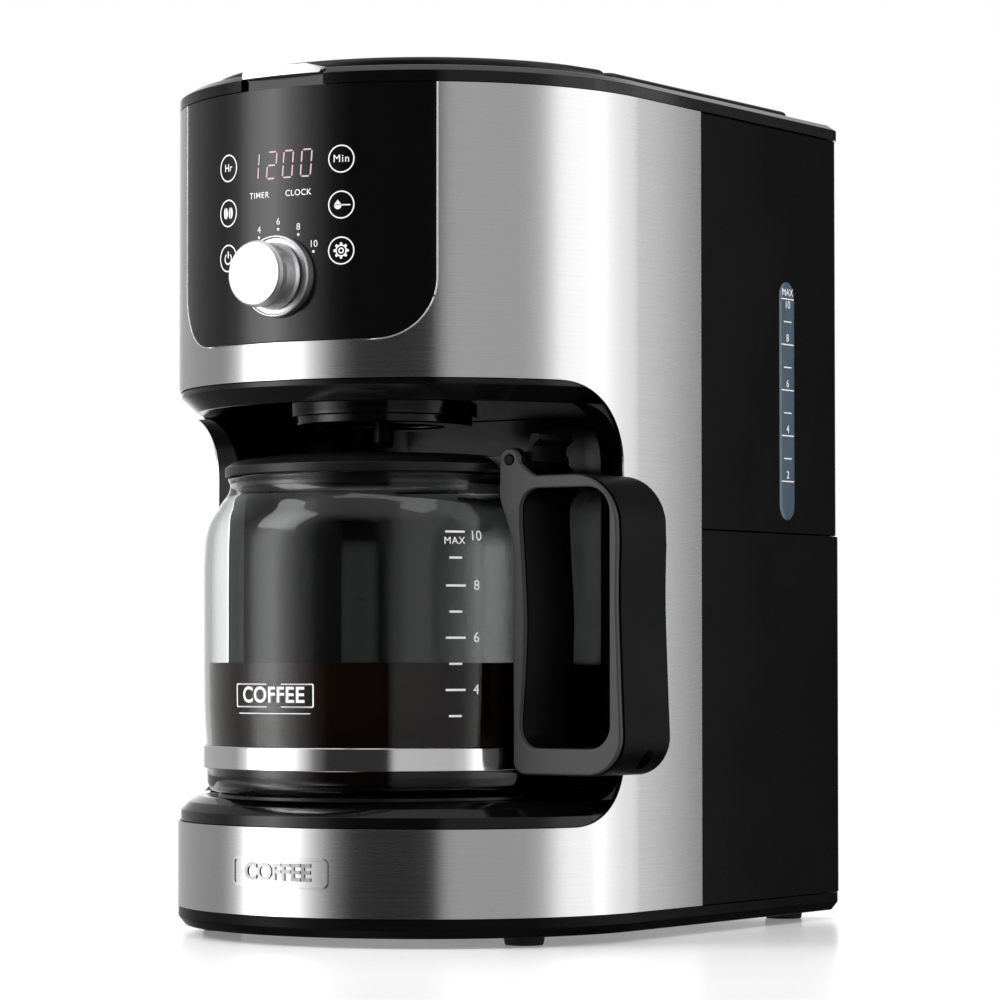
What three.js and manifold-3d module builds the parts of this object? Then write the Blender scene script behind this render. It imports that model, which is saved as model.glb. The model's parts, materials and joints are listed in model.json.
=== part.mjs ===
// Grind-and-brew drip coffee maker with a glass carafe.
// Millimetres, +Z up, front of the machine towards -Y, carafe handle towards +X.
// The machine is built with its foremost point at Y = 0 and its middle plane at X = 0, and is
// then moved so that the origin is at the middle of its footprint, on the table.

import * as THREE from "three";
import { mergeVertices } from "three/addons/utils/BufferGeometryUtils.js";
import Module from "manifold-3d";

const wasm = await Module();
wasm.setup();

// ---------------------------------------------------------------- driving dimensions

const HALF_WIDTH = 100; // also the radius of the round front
const DEPTH = 265.6;
const BACK_CORNER = 10; // radius of the two upright back corners
const SEAM_Y = 147.5; // where the steel wrap ends and the black rear covers begin
const GAP = 0.3; // clearance between neighbouring pieces

const PAN_BOTTOM = 3.7; // the feet raise the base pan this much
const STEEL_BOTTOM = 11.3;
const BAY_FLOOR_EDGE = 44.9; // top of the lower steel band
const DECK_TOP = 54.8;
const CEILING = 207.3; // underside of the head
const BAY_ROOF_EDGE = 215.6; // lower edge of the upper steel band
const COVER_SEAM = 160.8; // between the lower and upper rear covers
const STEEL_TOP = 327.8;
const RIM_TOP = 334.8; // flat top of the top frame
const LID_TOP = 339.5;

const STEEL_SHEET = 0.8;
const COVER_WALL = 2.4;
const UPPER_COVER_INSET = 0.8; // the upper rear cover is this much narrower than the lower one
const BAY_BACK = 90; // front faces of the two pillars beside the bay
const BAY_CORNER = 32; // radius of the upper corner of the steel cut-out, seen from the side
const BAY_CORNER_LOW = 26;
const POCKET_HALF_WIDTH = 88.6;
const POCKET_BACK = 148;

const PANEL_BOTTOM = 230;
const PANEL_ARC = 64.7; // half width of the control panel, measured round the front
const PANEL_CORNER = 24;
const DIAL_Z = 255.2;
const DIAL_REACH = 15.4; // how far the dial's knob stands out in front

const CARAFE_Y = 69.5; // axis of the carafe
const CARAFE_RADIUS = 71;
const CARAFE_BOTTOM = 57;
const GLASS = 2;
const BAND_LOW = 66.4;
const BAND_HIGH = 75.4;
const NECK_TOP = 180.2;
const HANDLE_HALF_WIDTH = 17.5;
const HANDLE_REACH = 122; // outermost X of the handle
const LID_PIN_X = 71.4;
const LID_PIN_Z = 185.3;

const BREW_Y = 61; // middle of the oval brew chamber
const BREW_HALF_X = 64.5;
const BREW_HALF_Y = 39.5;
const GRINDER_Y = 144; // axis of hopper, burrs and motor
const TANK_FRONT = 192;
const LID_INSET = 13.5; // from the outside of the machine to the edge of the top lids

const FRONT_STEPS = 24; // facets round the half-circle front

// ---------------------------------------------------------------- finishes

const FINISHES = {
  steel: { color: 0xb4b5b7, roughness: 0.32, metalness: 1 },
  chrome: { color: 0xe3e4e6, roughness: 0.12, metalness: 1 },
  satin_metal: { color: 0xd9dadb, roughness: 0.3, metalness: 1 },
  gloss_black: { color: 0x0a0a0b, roughness: 0.12, metalness: 0 },
  satin_black: { color: 0x141415, roughness: 0.45, metalness: 0 },
  dark_grey: { color: 0x3c3d3f, roughness: 0.5, metalness: 0 },
  smoke: { color: 0x5f7385, roughness: 0.2, metalness: 0 },
  glass: { color: 0xeef3f3, roughness: 0.03, metalness: 0 },
  rubber: { color: 0x161616, roughness: 0.8, metalness: 0 },
  board: { color: 0x1f5a35, roughness: 0.6, metalness: 0 },
  silicone: { color: 0xd8d8d4, roughness: 0.6, metalness: 0 },
};

// ---------------------------------------------------------------- shape helpers

const radians = THREE.MathUtils.degToRad;

function solid(geometry) {
  geometry.deleteAttribute("normal");
  geometry.deleteAttribute("uv");
  const merged = mergeVertices(geometry, 1e-4);
  const triVerts = new Uint32Array(merged.index.array);
  const vertProperties = merged.attributes.position.array;
  const made = new wasm.Manifold(new wasm.Mesh({ numProp: 3, vertProperties, triVerts }));
  if (made.volume() > 0) return made;
  for (let i = 0; i < triVerts.length; i += 3) {
    [triVerts[i], triVerts[i + 1]] = [triVerts[i + 1], triVerts[i]];
  }
  return new wasm.Manifold(new wasm.Mesh({ numProp: 3, vertProperties, triVerts }));
}

function geometryOf(shape) {
  const { vertProperties, triVerts } = shape.getMesh();
  const geometry = new THREE.BufferGeometry();
  geometry.setAttribute("position", new THREE.BufferAttribute(vertProperties, 3));
  geometry.setIndex(new THREE.BufferAttribute(triVerts, 1));
  geometry.computeVertexNormals();
  return geometry;
}

// Points of a circular arc; angles in degrees.
function arc(x, y, radius, from, to, steps) {
  const points = [];
  for (let i = 0; i <= steps; i++) {
    const angle = radians(from + ((to - from) * i) / steps);
    points.push(new THREE.Vector2(x + radius * Math.cos(angle), y + radius * Math.sin(angle)));
  }
  return points;
}

function roundedRectangle(left, right, low, high, radius, steps = 4) {
  return [
    ...arc(right - radius, low + radius, radius, 270, 360, steps),
    ...arc(right - radius, high - radius, radius, 0, 90, steps),
    ...arc(left + radius, high - radius, radius, 90, 180, steps),
    ...arc(left + radius, low + radius, radius, 180, 270, steps),
  ];
}

function ellipse(x, y, halfX, halfY, steps) {
  return arc(0, 0, 1, 0, 360, steps)
    .slice(0, -1)
    .map((p) => new THREE.Vector2(x + halfX * p.x, y + halfY * p.y));
}

// Plan of the machine: half-circle front, straight sides, two rounded back corners.
function bodyOutline(inset) {
  const half = HALF_WIDTH - inset;
  const back = DEPTH - inset;
  const corner = Math.max(BACK_CORNER - inset, 2);
  return [
    ...arc(0, HALF_WIDTH, half, 180, 360, FRONT_STEPS),
    ...arc(half - corner, back - corner, corner, 0, 90, 4),
    ...arc(corner - half, back - corner, corner, 90, 180, 4),
  ];
}

function extrusion(points, depth) {
  return new THREE.ExtrudeGeometry(new THREE.Shape(points), { depth, bevelEnabled: false });
}

// Outline in X and Y, pulled up from low to high.
function prism(points, low, high) {
  return solid(extrusion(points, high - low).translate(0, 0, low));
}

// Outline in Y and Z, pulled along X.
function prismAlongX(points, low, high) {
  const turn = new THREE.Matrix4().makeBasis(
    new THREE.Vector3(0, 1, 0),
    new THREE.Vector3(0, 0, 1),
    new THREE.Vector3(1, 0, 0),
  );
  return solid(extrusion(points, high - low).applyMatrix4(turn).translate(low, 0, 0));
}

// Outline in X and Z, pulled along Y.
function prismAlongY(points, low, high) {
  const turn = new THREE.Matrix4().makeBasis(
    new THREE.Vector3(1, 0, 0),
    new THREE.Vector3(0, 0, 1),
    new THREE.Vector3(0, -1, 0),
  );
  return solid(extrusion(points, high - low).applyMatrix4(turn).translate(0, high, 0));
}

function block(x, y, z) {
  const box = new THREE.BoxGeometry(x[1] - x[0], y[1] - y[0], z[1] - z[0]);
  return solid(box.translate((x[0] + x[1]) / 2, (y[0] + y[1]) / 2, (z[0] + z[1]) / 2));
}

const EVERYWHERE = [-400, 400];

// A prism whose outline draws in by inset over the last rise of its height, at one end.
function chamferedPrism(points, low, high, inset, rise, end) {
  const spare = rise + 1;
  const from = end === "top" ? low - spare : low;
  const to = end === "top" ? high : high + spare;
  const geometry = new THREE.ExtrudeGeometry(new THREE.Shape(points), {
    depth: to - from - 2 * rise,
    bevelSegments: 1,
    bevelSize: inset,
    bevelOffset: -inset,
    bevelThickness: rise,
  });
  const waste = end === "top" ? [from - 1, low] : [high, to + 1];
  return solid(geometry.translate(0, 0, from + rise)).subtract(
    block(EVERYWHERE, EVERYWHERE, waste),
  );
}

function cylinder(radius, length, steps) {
  return new THREE.CylinderGeometry(radius, radius, length, steps);
}

function uprightCylinder(x, y, radius, low, high, steps = 20) {
  const shape = cylinder(radius, high - low, steps).rotateX(Math.PI / 2);
  return solid(shape.translate(x, y, (low + high) / 2));
}

function cylinderAlongX(y, z, radius, low, high, steps = 12) {
  const shape = cylinder(radius, high - low, steps).rotateZ(Math.PI / 2);
  return solid(shape.translate((low + high) / 2, y, z));
}

function cylinderAlongY(x, z, radius, low, high, steps = 20) {
  return solid(cylinder(radius, high - low, steps).translate(x, (low + high) / 2, z));
}

// A turned piece about an upright axis; the profile is a list of [radius, height].
function turned(profile, x, y, steps, squash = 1) {
  const points = profile.map(([radius, height]) => new THREE.Vector2(radius, height));
  const shape = new THREE.LatheGeometry(points, steps).rotateX(Math.PI / 2);
  return solid(shape.scale(1, squash, 1).translate(x, y, 0));
}

// A ring with a rectangular section, made as a closed turned profile.
function ring(inner, outer, low, high, x, y, steps, squash = 1) {
  const profile = [
    [inner, low],
    [outer, low],
    [outer, high],
    [inner, high],
    [inner, low],
  ];
  return turned(profile, x, y, steps, squash);
}

// A round tube or rod along a smooth path through the given points.
function tube(points, radius, steps, sides = 8) {
  const path = new THREE.CatmullRomCurve3(points.map((p) => new THREE.Vector3(...p)));
  const section = new THREE.Shape(arc(0, 0, radius, 0, 360, sides).slice(0, -1));
  return solid(new THREE.ExtrudeGeometry(section, { steps, extrudePath: path }));
}

const machine = new THREE.Group();

function add(name, shape, finish) {
  const mesh = new THREE.Mesh(geometryOf(shape), new THREE.MeshStandardMaterial(FINISHES[finish]));
  mesh.name = name;
  machine.add(mesh);
}

// ---------------------------------------------------------------- base

function makeBase() {
  const pan = chamferedPrism(bodyOutline(0.4), PAN_BOTTOM, STEEL_BOTTOM - GAP, 2.5, 3, "bottom")
    .subtract(prism(bodyOutline(3), PAN_BOTTOM + 2.5, STEEL_BOTTOM));
  add("base_pan", pan, "satin_black");

  const footX = 73;
  const feet = { front_left: [-footX, 60], front_right: [footX, 60] };
  feet.rear_left = [-footX - 5, 250];
  feet.rear_right = [footX + 5, 250];
  for (const [place, [x, y]] of Object.entries(feet)) {
    add(`foot_${place}`, uprightCylinder(x, y, 8, 0, PAN_BOTTOM - GAP, 16), "rubber");
  }

  const bossRadius = 58;
  const underside = DECK_TOP - 2.8;
  const deck = chamferedPrism(
    bodyOutline(STEEL_SHEET + GAP), BAY_FLOOR_EDGE + GAP, DECK_TOP, 7.4, 5.7, "top",
  )
    .subtract(prism(bodyOutline(8), BAY_FLOOR_EDGE, underside))
    .subtract(block(EVERYWHERE, [SEAM_Y - GAP, 400], [0, 100]))
    .subtract(uprightCylinder(0, CARAFE_Y, bossRadius + GAP, 40, 60, 36));
  add("base_deck", deck, "gloss_black");

  const plate = [
    [0, underside],
    [bossRadius, underside],
    [bossRadius, DECK_TOP + GAP],
    [65, DECK_TOP + GAP],
    [65, DECK_TOP + 1],
    [63.8, CARAFE_BOTTOM - GAP],
    [0, CARAFE_BOTTOM - GAP],
  ];
  add("warming_plate", turned(plate, 0, CARAFE_Y, 36), "satin_black");

  // Horseshoe flow heater pressed against the underside of the warming plate.
  const heaterRadius = 6.2;
  const heaterZ = underside - GAP - heaterRadius;
  const loop = 36;
  const heaterEnd = 120;
  const bend = arc(0, CARAFE_Y, loop, 180, 360, 6).map((p) => [p.x, p.y, heaterZ]);
  const heaterRoute = [[-loop, heaterEnd, heaterZ], ...bend, [loop, heaterEnd, heaterZ]];
  add("flow_heater", tube(heaterRoute, heaterRadius, 24), "satin_metal");
  add("heater_thermostat", uprightCylinder(0, CARAFE_Y, 9, 44, underside - GAP, 16), "satin_black");

  // Silicone hoses: cold water from the tank to the heater, hot water up to the lid.
  const hoseStart = heaterEnd + 0.6;
  const coldRoute = [
    [loop, hoseStart, heaterZ],
    [loop, 150, heaterZ],
    [40, 200, 52],
    [44, 226, 90],
    [44, 226, 163],
  ];
  add("cold_water_hose", tube(coldRoute, 4, 18, 6), "silicone");
  const hotRoute = [
    [-loop, hoseStart, heaterZ],
    [-loop, 150, heaterZ],
    [-55, 172, 60],
    [-78, 178, 100],
    [-82, 178, 200],
    [-82, 172, 300],
    [-76, 130, 306],
    [-64, 88, 317],
    [-64, 88, 331],
  ];
  add("hot_water_riser", tube(hotRoute, 4, 28, 6), "silicone");
}

// ---------------------------------------------------------------- outer skins

// The bay's outline from the side, open to the front: Y against Z.
function bayProfile(floor, roof, back, lower, upper) {
  return [
    new THREE.Vector2(-50, floor),
    ...arc(back - lower, floor + lower, lower, 270, 360, 6),
    ...arc(back - upper, roof - upper, upper, 0, 90, 6),
    new THREE.Vector2(-50, roof),
  ];
}

// The control panel's outline from the front, margin wider or narrower than nominal.
// Its corners are true arcs on the unrolled surface.
function panelOutline(margin) {
  const half = PANEL_ARC + margin;
  const low = PANEL_BOTTOM - margin;
  const flat = [
    ...arc(half - PANEL_CORNER, low + PANEL_CORNER, PANEL_CORNER, 270, 360, 8),
    new THREE.Vector2(half, STEEL_TOP + 10),
    new THREE.Vector2(-half, STEEL_TOP + 10),
    ...arc(PANEL_CORNER - half, low + PANEL_CORNER, PANEL_CORNER, 180, 270, 8),
  ];
  return flat.map((p) => new THREE.Vector2(HALF_WIDTH * Math.sin(p.x / HALF_WIDTH), p.y));
}

function makeSkins() {
  const behindSeam = block(EVERYWHERE, [SEAM_Y - GAP, 400], EVERYWHERE);
  const wrap = prism(bodyOutline(0), STEEL_BOTTOM, STEEL_TOP)
    .subtract(prism(bodyOutline(STEEL_SHEET), 0, 400))
    .subtract(behindSeam)
    .subtract(
      prismAlongX(
        bayProfile(BAY_FLOOR_EDGE, BAY_ROOF_EDGE, BAY_BACK, BAY_CORNER_LOW, BAY_CORNER),
        ...EVERYWHERE,
      ),
    )
    .subtract(prismAlongY(panelOutline(0), -5, 30));
  add("steel_wrap", wrap, "steel");

  const aheadOfSeam = block(EVERYWHERE, [-50, SEAM_Y], EVERYWHERE);
  const glandX = 62;
  const glandZ = 26;
  const lower = prism(bodyOutline(0), STEEL_BOTTOM, COVER_SEAM - GAP)
    .subtract(prism(bodyOutline(COVER_WALL), 0, 400))
    .subtract(aheadOfSeam)
    .subtract(cylinderAlongY(glandX, glandZ, 6.3, DEPTH - 10, DEPTH + 10));
  add("rear_cover_lower", lower, "satin_black");
  add(
    "cord_gland",
    cylinderAlongY(glandX, glandZ, 9, DEPTH - 6, DEPTH - COVER_WALL - GAP)
      .add(cylinderAlongY(glandX, glandZ, 6, DEPTH - 4, DEPTH - 0.2))
      .subtract(cylinderAlongY(glandX, glandZ, 3.6, DEPTH - 20, DEPTH + 10)),
    "rubber",
  );

  // The sight window sits in an upright slot in the right-hand side of the upper cover.
  const slot = (margin) =>
    roundedRectangle(210 - margin, 224 + margin, 165.5 - margin, 265.7 + margin, 6.9 + margin, 5);
  const outer = HALF_WIDTH - UPPER_COVER_INSET;
  const upper = prism(bodyOutline(UPPER_COVER_INSET), COVER_SEAM, STEEL_TOP)
    .subtract(prism(bodyOutline(UPPER_COVER_INSET + COVER_WALL), 0, 400))
    .subtract(aheadOfSeam)
    .subtract(prismAlongX(slot(0), outer - 10, outer + 10));
  add("rear_cover_upper", upper, "satin_black");
  add("level_window", prismAlongX(slot(-GAP), outer - 2.2, outer + 0.4), "smoke");

  const badge = prism(bodyOutline(-1), 20, 36)
    .subtract(prism(bodyOutline(-GAP), 0, 60))
    .intersect(prismAlongY(roundedRectangle(-22.3, 22.3, 22.4, 33.6, 2.5), -10, 30));
  add("badge_plate", badge, "steel");
}

// ---------------------------------------------------------------- carafe bay and head

function makeBay() {
  const pocket = [
    new THREE.Vector2(-POCKET_HALF_WIDTH, -50),
    new THREE.Vector2(POCKET_HALF_WIDTH, -50),
    ...arc(POCKET_HALF_WIDTH - 45, POCKET_BACK - 45, 45, 0, 90, 8),
    ...arc(45 - POCKET_HALF_WIDTH, POCKET_BACK - 45, 45, 90, 180, 8),
  ];
  const inside = STEEL_SHEET + GAP;
  const low = DECK_TOP + GAP;
  const high = CEILING - GAP;
  const opening = bayProfile(
    DECK_TOP, CEILING, BAY_BACK + GAP,
    BAY_CORNER_LOW - (DECK_TOP - BAY_FLOOR_EDGE), BAY_CORNER - (BAY_ROOF_EDGE - CEILING),
  );
  const liner = prism(bodyOutline(inside), low, high)
    .subtract(block(EVERYWHERE, [SEAM_Y - GAP, 400], EVERYWHERE))
    .add(block([-96, 96], [SEAM_Y - 10, POCKET_BACK + 4], [low, high]))
    .subtract(prismAlongX(opening, ...EVERYWHERE))
    .subtract(prism(pocket, 0, 400));
  add("bay_liner", liner, "gloss_black");

  // Ceiling of the bay, with a sloping lip round the front, and the floor of the head.
  const roof = BAY_ROOF_EDGE - GAP;
  const collarHole = uprightCylinder(0, CARAFE_Y, 25, 190, 230, 28);
  const front = chamferedPrism(bodyOutline(inside), CEILING, roof, 7, 5.9, "bottom").subtract(
    block(EVERYWHERE, [SEAM_Y - GAP, 400], EVERYWHERE),
  );
  const rearFloor = prism(
    roundedRectangle(4 - HALF_WIDTH, HALF_WIDTH - 4, SEAM_Y - 10, 165, 3), CEILING + 4, roof,
  );
  add("head_floor", front.add(rearFloor).subtract(collarHole), "gloss_black");

  const collar = [
    [24, 201],
    [35, 201],
    [35, 204.4],
    [37, 204.4],
    [37, CEILING - GAP],
    [24, CEILING - GAP],
    [24, 201],
  ];
  add("outlet_collar", turned(collar, 0, CARAFE_Y, 28), "satin_black");
}

// ---------------------------------------------------------------- brewing: basket and valve

function makeBrewing() {
  const squash = BREW_HALF_Y / BREW_HALF_X;
  const floor = BAY_ROOF_EDGE;
  const chuteHalf = 13.5;
  const chamber = ring(
    BREW_HALF_X - 2, BREW_HALF_X, floor, STEEL_TOP, 0, BREW_Y, 36, squash,
  ).subtract(block([-chuteHalf - 0.6, chuteHalf + 0.6], [90, 110], [263.4, 286.6]));
  add("brew_chamber", chamber, "satin_black");

  const basketTop = 262;
  const outerBasket = [
    [0, floor + GAP],
    [38, floor + GAP],
    [58, basketTop - 3],
    [61, basketTop - 3],
    [61, basketTop],
    [56, basketTop],
    [36.5, floor + 2.2],
    [0, floor + 2.2],
  ];
  const basket = turned(outerBasket, 0, BREW_Y, 28, squash)
    .add(uprightCylinder(0, CARAFE_Y, 11, 203.4, floor + 2))
    .subtract(uprightCylinder(0, CARAFE_Y, 8, 200, floor - 1))
    .subtract(uprightCylinder(0, CARAFE_Y, 5.2, 200, floor + 5));
  add("brew_basket", basket, "satin_black");

  const filter = [
    [0, 224],
    [33, 224],
    [54, basketTop + GAP],
    [60, basketTop + GAP],
    [60, basketTop + 1.3],
    [53, basketTop + 1.3],
    [32, 225],
    [0, 225],
  ];
  add("permanent_filter", turned(filter, 0, BREW_Y, 28, squash), "satin_metal");

  const valve = [
    [0, 192.8],
    [4, 192.8],
    [4, 204],
    [7, 204],
    [7, 205.4],
    [3.8, 205.4],
    [3.8, 218.2],
    [7.5, 218.2],
    [7.5, 219.8],
    [0, 219.8],
  ];
  add("drip_valve", turned(valve, 0, CARAFE_Y, 16), "satin_black");

  // The valve's return spring, at its squeezed length: the valve's flange rises to just below it.
  const turns = 3;
  const stepsPerTurn = 10;
  const springLow = 209.3;
  const springHigh = 213.6;
  const helix = [];
  for (let i = 0; i <= turns * stepsPerTurn; i++) {
    const angle = (2 * Math.PI * i) / stepsPerTurn;
    const height = springLow + ((springHigh - springLow) * i) / (turns * stepsPerTurn);
    helix.push([5.9 * Math.cos(angle), CARAFE_Y + 5.9 * Math.sin(angle), height]);
  }
  add("valve_spring", tube(helix, 0.45, turns * stepsPerTurn, 5), "satin_metal");
}

// ---------------------------------------------------------------- grinder

function makeGrinder() {
  const floor = 264;
  const roof = 286;
  add("grinder_motor", uprightCylinder(0, GRINDER_Y, 23, BAY_ROOF_EDGE, floor - 2, 24), "satin_metal");

  const housing = uprightCylinder(0, GRINDER_Y, 30, floor, roof, 28)
    .add(block([-13.5, 13.5], [99.6, GRINDER_Y - 20], [floor, roof]))
    .subtract(uprightCylinder(0, GRINDER_Y, 26.5, floor + 2.5, roof - 2, 28))
    .subtract(uprightCylinder(0, GRINDER_Y, 19, floor + 2.5, roof + 5, 28))
    .subtract(block([-11.5, 11.5], [90, GRINDER_Y - 18], [floor + 2.5, roof - 2.5]))
    .subtract(uprightCylinder(0, GRINDER_Y, 5, floor - 5, roof));
  add("grinder_housing", housing, "satin_black");

  const outerBurr = [
    [13.5, 270],
    [26, 270],
    [26, 283.6],
    [20, 283.6],
    [13.5, 270],
  ];
  add("outer_burr", turned(outerBurr, 0, GRINDER_Y, 24), "satin_metal");

  const innerBurr = [
    [3.4, 268],
    [12.8, 268],
    [12.8, 270],
    [6.5, 284],
    [3.4, 284],
    [3.4, 268],
  ];
  add("inner_burr", turned(innerBurr, 0, GRINDER_Y, 16), "satin_metal");
  add("burr_shaft", uprightCylinder(0, GRINDER_Y, 3, floor - 1.6, 285, 12), "satin_metal");

  const squash = 36 / 62;
  const mouth = STEEL_TOP;
  const hopper = [
    [15, roof + GAP],
    [18, roof + GAP],
    [19, 292],
    [62, 312],
    [62, mouth],
    [60, mouth],
    [60, 313.5],
    [16, 293],
    [15, roof + GAP],
  ];
  add("bean_hopper", turned(hopper, 0, GRINDER_Y, 28, squash), "smoke");
}

// ---------------------------------------------------------------- water tank

function makeTank() {
  const side = HALF_WIDTH - UPPER_COVER_INSET - COVER_WALL - 1.2;
  const back = DEPTH - UPPER_COVER_INSET - COVER_WALL - 1;
  const low = 164;
  const high = STEEL_TOP;
  const wall = 2;
  const outside = roundedRectangle(-side, side, TANK_FRONT, back, 7);
  const inside = roundedRectangle(wall - side, side - wall, TANK_FRONT + wall, back - wall, 5);
  const tank = prism(outside, low, high)
    .subtract(prism(inside, low + wall, high + 5))
    .subtract(uprightCylinder(44, 226, 3, low - 5, low + 5, 12));
  add("water_tank", tank, "smoke");
}

// ---------------------------------------------------------------- top frame and lids

const PIN_RADIUS = 1.4;
const BORE_RADIUS = PIN_RADIUS + 0.35;
const BARREL_RADIUS = 2.2;
const PIN_Z = RIM_TOP + GAP + BARREL_RADIUS;
const EAR_INNER = 41;
const EAR_OUTER = 46;

const LID_HINGES = { filter_lid: 97, rear_lid: 240 };

// Two ears on the frame at the given Y hold a lid's pin between them.
function hingeEars(y) {
  const profile = [
    new THREE.Vector2(y - BARREL_RADIUS, RIM_TOP - 1),
    new THREE.Vector2(y + BARREL_RADIUS, RIM_TOP - 1),
    ...arc(y, PIN_Z, BARREL_RADIUS, 0, 180, 6),
  ];
  return prismAlongX(profile, -EAR_OUTER, -EAR_INNER)
    .add(prismAlongX(profile, EAR_INNER, EAR_OUTER))
    .subtract(cylinderAlongX(y, PIN_Z, BORE_RADIUS, ...EVERYWHERE));
}

// A lid: a shallow shell with a barrel for its pin and notches for the frame's two ears.
function makeLid(name, outline, hollow) {
  const y = LID_HINGES[name];
  const low = RIM_TOP + GAP;
  const notches = [-1, 1].map((sign) => {
    const x = [sign * (EAR_INNER - 0.5), sign * (EAR_OUTER + 0.5)].sort((a, b) => a - b);
    return block(x, [y - BARREL_RADIUS - 0.6, y + 20], EVERYWHERE);
  });
  const trimmed = block(EVERYWHERE, [y + BARREL_RADIUS - 1, 400], EVERYWHERE);
  const lid = chamferedPrism(outline, low, LID_TOP, 1.8, 1.2, "top")
    .subtract(prism(hollow, low - 1, LID_TOP - 2))
    .subtract(trimmed)
    .add(cylinderAlongX(y, PIN_Z, BARREL_RADIUS, 1 - EAR_INNER, EAR_INNER - 1))
    .subtract(notches[0])
    .subtract(notches[1])
    .subtract(cylinderAlongX(y, PIN_Z, BORE_RADIUS, ...EVERYWHERE));
  add(name, lid, "satin_black");
  add(`${name}_pin`, cylinderAlongX(y, PIN_Z, PIN_RADIUS, -EAR_OUTER, EAR_OUTER), "satin_metal");
}

function makeTop() {
  const half = HALF_WIDTH - LID_INSET;
  const tabHalf = 19;
  const frame = chamferedPrism(bodyOutline(0), STEEL_TOP + GAP, RIM_TOP, 4, 2.6, "top")
    .subtract(prism(ellipse(0, BREW_Y, BREW_HALF_X - 2, BREW_HALF_Y - 1.5, 36), 300, 350))
    .subtract(prism(ellipse(0, GRINDER_Y, 60, 34.5, 32), 300, 350))
    .subtract(prism(roundedRectangle(-78, 78, 196, 234, 8), 300, 350))
    .subtract(block([-tabHalf - 0.6, tabHalf + 0.6], [-5, 4.4], [300, 350]))
    .subtract(uprightCylinder(-64, 88, 4.5, 300, 350, 12))
    .add(hingeEars(LID_HINGES.filter_lid))
    .add(hingeEars(LID_HINGES.rear_lid));
  add("top_frame", frame, "gloss_black");

  const frontOutline = (inset, back, corner) => [
    ...arc(0, HALF_WIDTH, half - inset, 195, 345, 24),
    ...arc(half - inset - corner, back - corner, corner, 0, 90, 4),
    ...arc(inset + corner - half, back - corner, corner, 90, 180, 4),
  ];
  makeLid("filter_lid", frontOutline(0, 99.4, 4), frontOutline(3, 91, 3));
  makeLid(
    "rear_lid",
    roundedRectangle(-half, half, 101.5, 243, 5),
    roundedRectangle(3 - half, half - 3, 104.5, 234, 4),
  );

  // Polished tab on the front of the filter lid, bent down into the notch in the frame.
  const tabTop = LID_TOP - 2.2;
  const tab = prism(bodyOutline(0), 332.6, tabTop)
    .intersect(block([-tabHalf, tabHalf], [-5, 20], EVERYWHERE))
    .subtract(block(EVERYWHERE, [3.6, 400], [300, RIM_TOP + GAP]))
    .subtract(prism(frontOutline(-GAP, 99.4, 4), 300, 400));
  add("lid_tab", tab, "chrome");

  // Water channel and shower plate, carried by the filter lid.
  const shower = uprightCylinder(0, BREW_Y, 24, 325.5, 328, 24)
    .add(uprightCylinder(0, BREW_Y, 7, 327, 337.2, 16))
    .add(block([-69, 0], [BREW_Y - 5, BREW_Y + 5], [RIM_TOP + 0.6, 337.2]))
    .add(block([-69, -59], [BREW_Y - 5, 90], [RIM_TOP + 0.6, 337.2]));
  add("spray_head", shower, "satin_black");
}

// ---------------------------------------------------------------- controls

function makeControls() {
  const shell = prism(bodyOutline(0.1), PANEL_BOTTOM - 5, STEEL_TOP)
    .subtract(prism(bodyOutline(2.6), 0, 400))
    .intersect(prismAlongY(panelOutline(-0.35), -5, 30))
    .subtract(cylinderAlongY(0, DIAL_Z, 4, -10, 30, 16));
  add("control_panel", shell, "gloss_black");

  add("control_board", block([-46, 46], [16.6, 18.2], [238, 322]), "board");
  add("display_module", block([-22, 26], [7, 16.2], [288, 308]), "satin_black");
  add("rotary_switch", block([-7, 7], [9, 16.2], [DIAL_Z - 7, DIAL_Z + 7]), "satin_black");

  const skirt = cylinderAlongY(0, DIAL_Z, 15.8, -2.8, 4, 32)
    .subtract(prism(bodyOutline(-GAP), 200, 320))
    .subtract(cylinderAlongY(0, DIAL_Z, 4, -10, 30, 16));
  add("dial_skirt", skirt, "satin_metal");

  // The cap is a cup over its shaft, with a narrow gap behind it.
  const cap = cylinderAlongY(0, DIAL_Z, 13, -DIAL_REACH, -3.2, 32)
    .subtract(cylinderAlongY(0, DIAL_Z, 11, 2.7 - DIAL_REACH, 0, 24))
    .add(cylinderAlongY(0, DIAL_Z, 5.5, 1.2 - DIAL_REACH, -4, 16))
    .subtract(cylinderAlongY(0, DIAL_Z, 3.3, 4.2 - DIAL_REACH, 0, 12));
  add("dial_knob", cap, "satin_metal");
  add("dial_shaft", cylinderAlongY(0, DIAL_Z, 2.9, 4.6 - DIAL_REACH, 8.6, 12), "satin_metal");
}

// ---------------------------------------------------------------- carafe

// Outside of the glass from foot to mouth: a near-upright wall, then shoulder, neck and lip.
function glassProfile(offset) {
  const foot = arc(65, CARAFE_BOTTOM + 4.5, 4.5, 270, 360, 4);
  const shoulder = new THREE.SplineCurve([
    new THREE.Vector2(CARAFE_RADIUS, 147),
    new THREE.Vector2(69.6, 160),
    new THREE.Vector2(65.4, 168.4),
    new THREE.Vector2(61.3, 174.5),
    new THREE.Vector2(60.8, 177.8),
    new THREE.Vector2(61.8, NECK_TOP),
  ]).getPoints(7);
  const wall = [
    new THREE.Vector2(69.5, BAND_LOW),
    new THREE.Vector2(69.7, BAND_HIGH),
    new THREE.Vector2(70.8, 92),
  ];
  return [...foot, ...wall, ...shoulder].map((p) => [p.x - offset, p.y]);
}

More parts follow.
